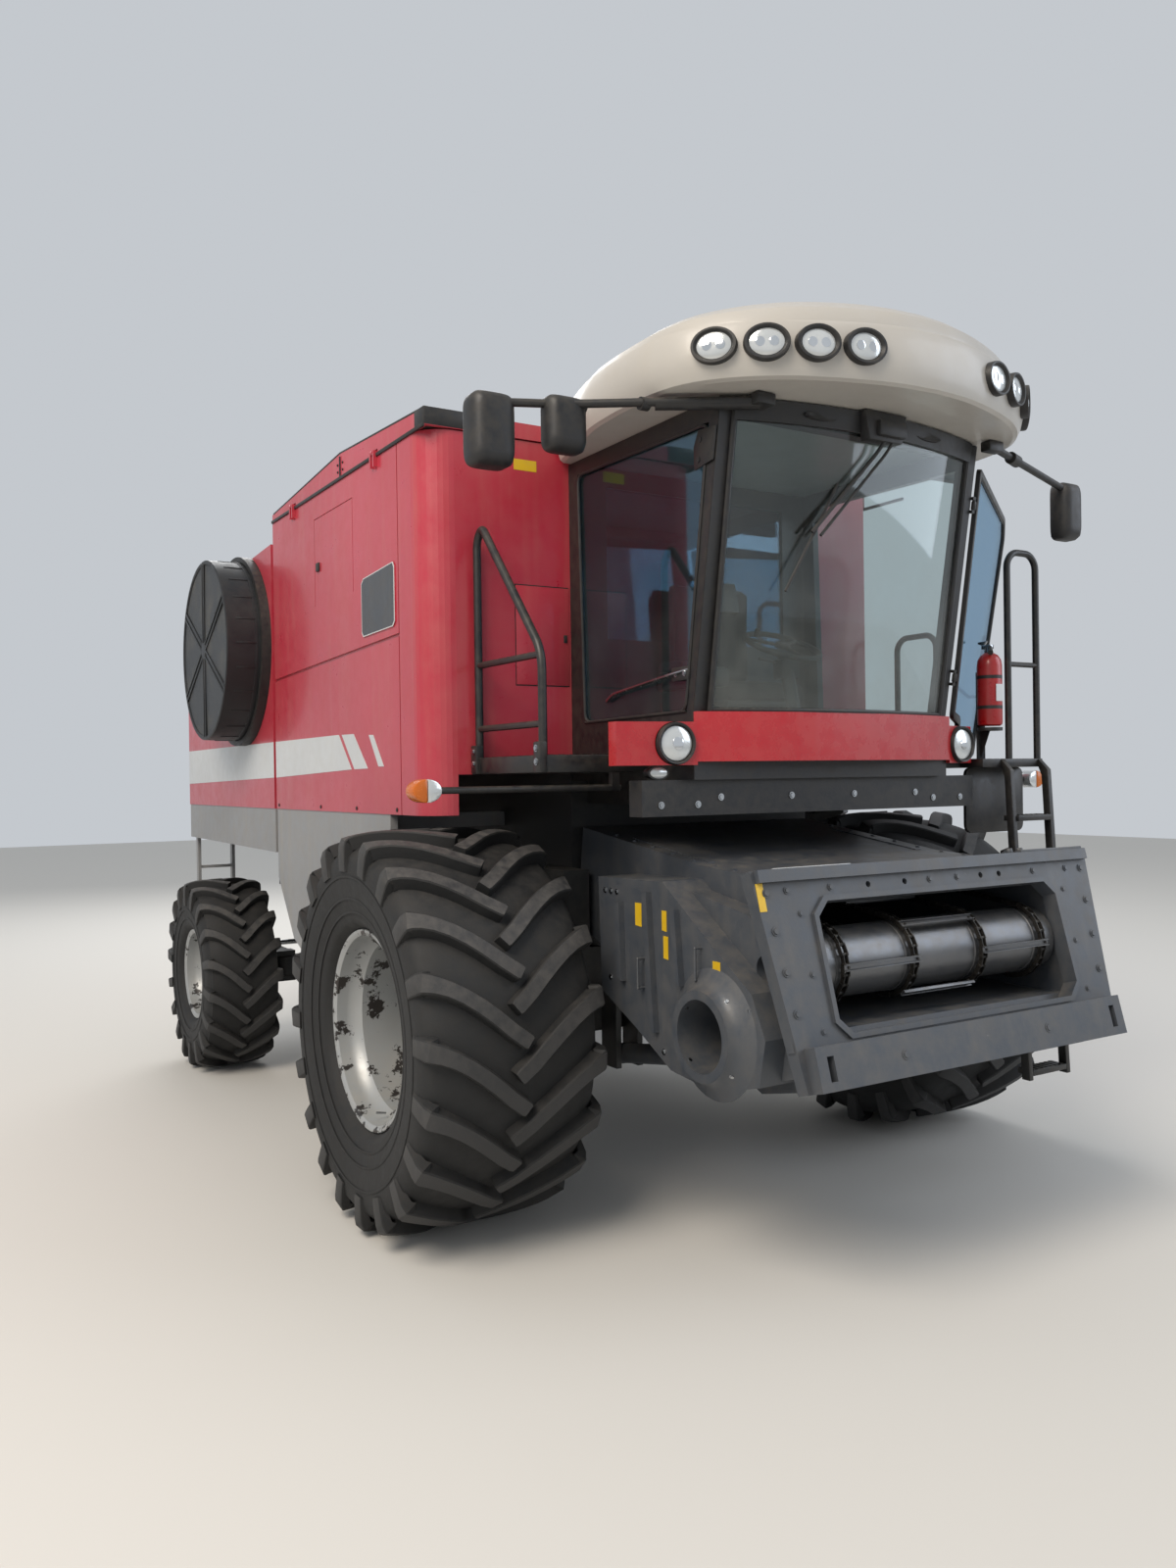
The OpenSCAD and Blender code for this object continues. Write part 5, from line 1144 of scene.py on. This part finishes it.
stationSet = {
    # corners, edge, material
    "boxes": [((-0.22, -0.66, 2.191), (0.22, -0.26, 2.225), 0.006),
              ((-0.24, -0.66, 2.465), (0.24, -0.22, 2.507), 0.012),
              ((-0.245, -0.205, 2.60), (0.245, -0.162, 3.145), 0.018),
              ((-0.425, -0.56, 2.191), (-0.31, -0.34, 2.56), 0.012),
              ((-0.438, -0.75, 2.56), (-0.292, -0.31, 2.66), 0.02),
              ((-0.428, -0.52, 2.655), (-0.302, -0.32, 2.712), 0.02, 2),
              ((-0.06, -0.862, 2.60), (0.06, -0.79, 2.70), 0.012)],
    # ends, radius, sides, radius at the far end, material, edge
    "rods": [((-0.25, -0.235, 2.55), (0.25, -0.235, 2.55), 0.03, 20, None, 0, 0.004),
             ((-0.335, -0.66, 2.65), (-0.335, -0.675, 2.76), 0.011, 14),
             ((-0.335, -0.672, 2.74), (-0.335, -0.682, 2.84), 0.021, 20, 0.026, 0, 0.004),
             ((-0.425, -0.735, 2.60), (-0.425, -0.76, 2.93), 0.011, 14),
             ((0, -0.94, 2.195), (0, -0.90, 2.36), 0.07, 24, 0.048),
             ((0, -0.92, 2.28), (0, -0.81, 2.72), 0.034, 24),
             ((-0.05, -0.82, 2.68), (-0.16, -0.81, 2.70), 0.007, 10)],
    "bellows": 6, "screen": (-0.35, -0.765, 2.99), "screenTilt": -12, "wheel": (0, -0.80, 2.77), "wheelTilt": 25,
    "wheelR": 0.19, "spokes": (30, 150, 270), "pedals": (-0.19, 0.13, 0.20),
    "pedal": [(-0.965, 2.23), (-0.95, 2.225), (-0.915, 2.31), (-0.93, 2.317)]}


def makeStation(s):
    bm = bmesh.new()
    for row in s["boxes"]:
        addBox(bm, *row)
    for row in s["rods"]:
        addRod(bm, *row)
    for k in range(s["bellows"]):
        grow = 0.012 * (k % 2)
        addBox(bm, (-0.15 - grow, -0.56 - grow, 2.225 + k * 0.04), (0.15 + grow, -0.28 + grow, 2.265 + k * 0.04), 0.006)
    for k in range(2):
        for j in range(4):
            x, y = -0.405 + k * 0.03, -0.73 + j * 0.03
            addRod(bm, (x, y, 2.658), (x, y, 2.668), 0.007, 12, mat=1)
    part = bmesh.new()
    addBox(part, (-0.085, -0.014, -0.075), (0.085, 0.014, 0.075), 0.006)
    addBox(part, (-0.072, 0.0138, -0.06), (0.072, 0.0152, 0.06), 0.001, 3)
    joinPart(bm, part, turn=placed(s["screen"], radians(s["screenTilt"])))
    wheel = Matrix.Rotation(radians(s["wheelTilt"]), 4, "X")
    addRing(bm, s["wheel"], s["wheelR"], 0.0138, wheel)
    part = bmesh.new()
    addRod(part, (0, 0, -0.012), (0, 0, 0.012), 0.04, 32, edge=0.004)
    for t in (radians(angle) for angle in s["spokes"]):
        addRod(part, (0.03 * cos(t), 0.03 * sin(t), 0), (0.185 * cos(t), 0.185 * sin(t), 0), 0.009, 12)
    knob = Vector((0.15 * cos(2.1), 0.15 * sin(2.1), 0))
    addRod(part, knob, knob + Vector((0, 0, 0.045)), 0.012, 16, edge=0.004)
    joinPart(bm, part, turn=Matrix.Translation(s["wheel"]) @ wheel)
    for x in s["pedals"]:
        addPlate(bm, s["pedal"], x - 0.028, x + 0.028, "x", 0.002, 1)
        addRod(bm, (x, -0.94, 2.27), (x, -0.965, 2.215), 0.008, 10)
    makePiece("operatorStationFrame", bm, [blackPlastic, rodSteel, seatFabric, monitorFace], "base",
              ("operator_station",), 30)


makeStation(stationSet)
print("operator station made")


cabTrim = {"stay": [(-0.803, -0.42, 2.50), (-0.815, -0.49, 2.53), (-0.815, -0.98, 2.585), (-0.803, -1.10, 2.60)],
           # corners, edge
           "boxes": [((-0.809, -1.10, 2.555), (-0.801, -0.975, 2.615), 0.002),
                     ((-0.845, -0.083, 2.82), (-0.825, -0.077, 2.86), 0.002),
                     ((-0.775, -1.10, 2.115), (0.775, -1.06, 2.185), 0.006)],
           # x and z of the corners, y of the front, edge, material
           "plates": [([(-1.125, 3.106), (-0.812, 3.106), (-0.812, 2.594), (-1.125, 2.594)], -0.0758, 0, 0),
                      ([(-1.12, 3.10), (-0.812, 3.10), (-0.812, 2.60), (-1.12, 2.60)], -0.0785, 0.0008, 2),
                      ([(-1.12, 3.68), (-0.99, 3.68), (-0.99, 3.735), (-1.12, 3.735)], -0.0762, 0, 3)],
           "wall": -0.0750, "beam": -1.081, "beamBolts": [(-0.62, 2.03), (-0.2, 2.03), (0.2, 2.03), (0.62, 2.03),
                                                          (-0.75, 2.0), (-0.95, 2.0), (0.75, 2.0), (0.95, 2.0)]}


def makeCabTrim(s):
    bm = bmesh.new()
    addTube(bm, s["stay"], 0.009, 0.05, 10, 1)
    for row in s["boxes"]:
        addBox(bm, *row)
    addBolts(bm, [(-0.809, y, 2.585) for y in (-1.075, -1.01)], (-1, 0, 0), 0.009, 0.008, 1)
    for points, front, edge, mat in s["plates"]:
        addPlate(bm, points, front, s["wall"], "y", edge, mat)
    addBolts(bm, [(x, s["beam"], z) for x, z in s["beamBolts"]], (0, -1, 0), 0.011, 0.008, 1)
    makePiece("cabSideTrim", bm, [blackPlastic, rodSteel, redPaint, yellowFilm], "base")


makeCabTrim(cabTrim)
print("cab trim made")


augerSet = {"x": 1.79, "y": 0.8, "z": 3.44, "radius": 0.165, "flanges": (1.02, 1.046, 2.72, 2.746, 4.36),
            "collar": [(0.0, 3.20), (0.172, 3.20), (0.172, 3.222), (0.0, 3.222)],
            "spout": ((1.638, 4.398, 3.118), (1.942, 4.762, 3.19))}


def makeAugerTrim(a):
    bm = bmesh.new()
    for y in a["flanges"]:
        addCollar(bm, (a["x"], y, a["z"]), a["radius"], 0.008, 0.02)
    addSpinZ(bm, a["collar"], (a["x"], a["y"]), 40)
    addBox(bm, *a["spout"], 0.006, 2)
    makePiece("augerTrim", bm, [redPaint, rodSteel, blackPlastic], "auger")


rearSet = {"face": 4.8312, "door": 0.95, "low": 2.02, "top": 2.84, "lamp": 1.02, "boltX": 1.5,
           "bolts": (2.30, 2.7, 3.1, 3.45), "handles": (-0.5, 0.5), "hinges": (-0.75, 0.0, 0.75)}


def makeRearTrim(s):
    bm = bmesh.new()
    back, d, low, top, lamp = (s[k] for k in ("face", "door", "low", "top", "lamp"))
    for x in (-d, d):
        addBox(bm, (x - 0.003, back - 0.002, low), (x + 0.003, back, top), 0, 1)
    for z in (low, top):
        addBox(bm, (-d, back - 0.002, z - 0.003), (d, back, z + 0.003), 0, 1)
    for x in s["handles"]:
        addBox(bm, (x - 0.07, back - 0.002, low + 0.07), (x + 0.07, back + 0.006, low + 0.11), 0.003, 1)
    for x in s["hinges"]:
        addRod(bm, (x - 0.05, back + 0.004, top), (x + 0.05, back + 0.004, top), 0.010, 12, mat=1)
    for side in (-1, 1):
        addBox(bm, (side * lamp, back - 0.002, 2.06), (side * (lamp + 0.18), back + 0.030, 2.17), 0.008, 1)
        for inner, mat in ((lamp + 0.01, 2), (lamp + 0.09, 3)):
            addBox(bm, (side * inner, back + 0.028, 2.07), (side * (inner + 0.08), back + 0.036, 2.16), 0.003, mat)
        addBolts(bm, [(side * s["boltX"], back, z) for z in s["bolts"]], (0, 1, 0), 0.008, 0.006, 1)
    makePiece("rearTrim", bm, [redPaint, blackPlastic, tailLens, amberLens], "base")


coverTrim = {"line": [(2.36, 3.878), (1.08, 3.971)], "front": (-0.06, 3.912), "cutEnd": (0.26, 3.929),
             "strip": (1.585, 1.6118), "cutStart": (1.28, -0.085),
             "plate": [(0.02, 3.838), (0.45, 3.838), (0.45, 3.914), (0.02, 3.898)]}


# a strip along each cover's top edge, a cap on the right one's front and a plate on the left one's cut corner
def makeCoverTrim(s, word, c):
    bm = bmesh.new()
    line = c["line"] + [c["front"] if s < 0 else c["cutEnd"]]
    for (y0, z0), (y1, z1) in zip(line, line[1:]):
        strip = [(y0, z0), (y1, z1), (y1, z1 + 0.010), (y0, z0 + 0.010)]
        addPlate(bm, strip, *sorted(s * x for x in c["strip"]), "x", 0.002, 1)
    if s < 0:
        addBox(bm, (s * 1.40, -0.0875, 3.837), (s * 1.612, 0.03, 3.925), 0.006, 1)
    else:
        part = bmesh.new()
        addPlate(part, c["plate"], 0.0008, 0.012, "y")
        joinPart(bm, part, turn=placed((*c["cutStart"], 0), pi / 4, "Z"))
    makePiece("coverEdge" + word, bm, [redPaint, blackPlastic], "cover_" + word.lower())


makeAugerTrim(augerSet)
makeRearTrim(rearSet)
makeCoverTrim(1, "Left", coverTrim)
makeCoverTrim(-1, "Right", coverTrim)
print("rear, auger and cover trim made")


stageSet = {"floor": [(-30, -22, 0), (30, -22, 0), (30, 38, 0), (-30, 38, 0)], "sky": 0.75, "aim": (0, 0, 1.6),
            # name: place, size, power, colour
            "lights": {"key": ((-9, -6, 11), 7, 1500, "#fff4e6"), "fill": ((9, -9, 7), 8, 500, "#eaf2ff"),
                       "rim": ((3, 12, 10), 8, 900, "#ffffff")}}


def makeStage(s):
    mesh = bpy.data.meshes.new("floor")
    mesh.from_pydata(s["floor"], [], [(0, 1, 2, 3)])
    floor = bpy.data.objects.new("floor", mesh)
    bpy.context.scene.collection.objects.link(floor)
    mat = bpy.data.materials.new("pale_floor")
    mat.use_nodes = True
    shader = mat.node_tree.nodes["Principled BSDF"]
    shader.inputs["Base Color"].default_value = srgb("#cfccc6")
    shader.inputs["Roughness"].default_value = 0.85
    mesh.materials.append(mat)
    world = bpy.data.worlds.new("studio")
    bpy.context.scene.world = world
    world.use_nodes = True
    world.node_tree.nodes["Background"].inputs[0].default_value = srgb("#dfe4ea")
    world.node_tree.nodes["Background"].inputs[1].default_value = s["sky"]
    for name, (place, size, power, tone) in s["lights"].items():
        data = bpy.data.lights.new(name, "AREA")
        data.size, data.energy, data.color = size, power, srgb(tone)[:3]
        lamp = bpy.data.objects.new(name, data)
        lamp.location = place
        lamp.rotation_euler = (Vector(s["aim"]) - Vector(place)).to_track_quat("-Z", "Y").to_euler()
        bpy.context.scene.collection.objects.link(lamp)


makeStage(stageSet)
bpy.context.scene.view_settings.view_transform = "Standard"
print("stage made")
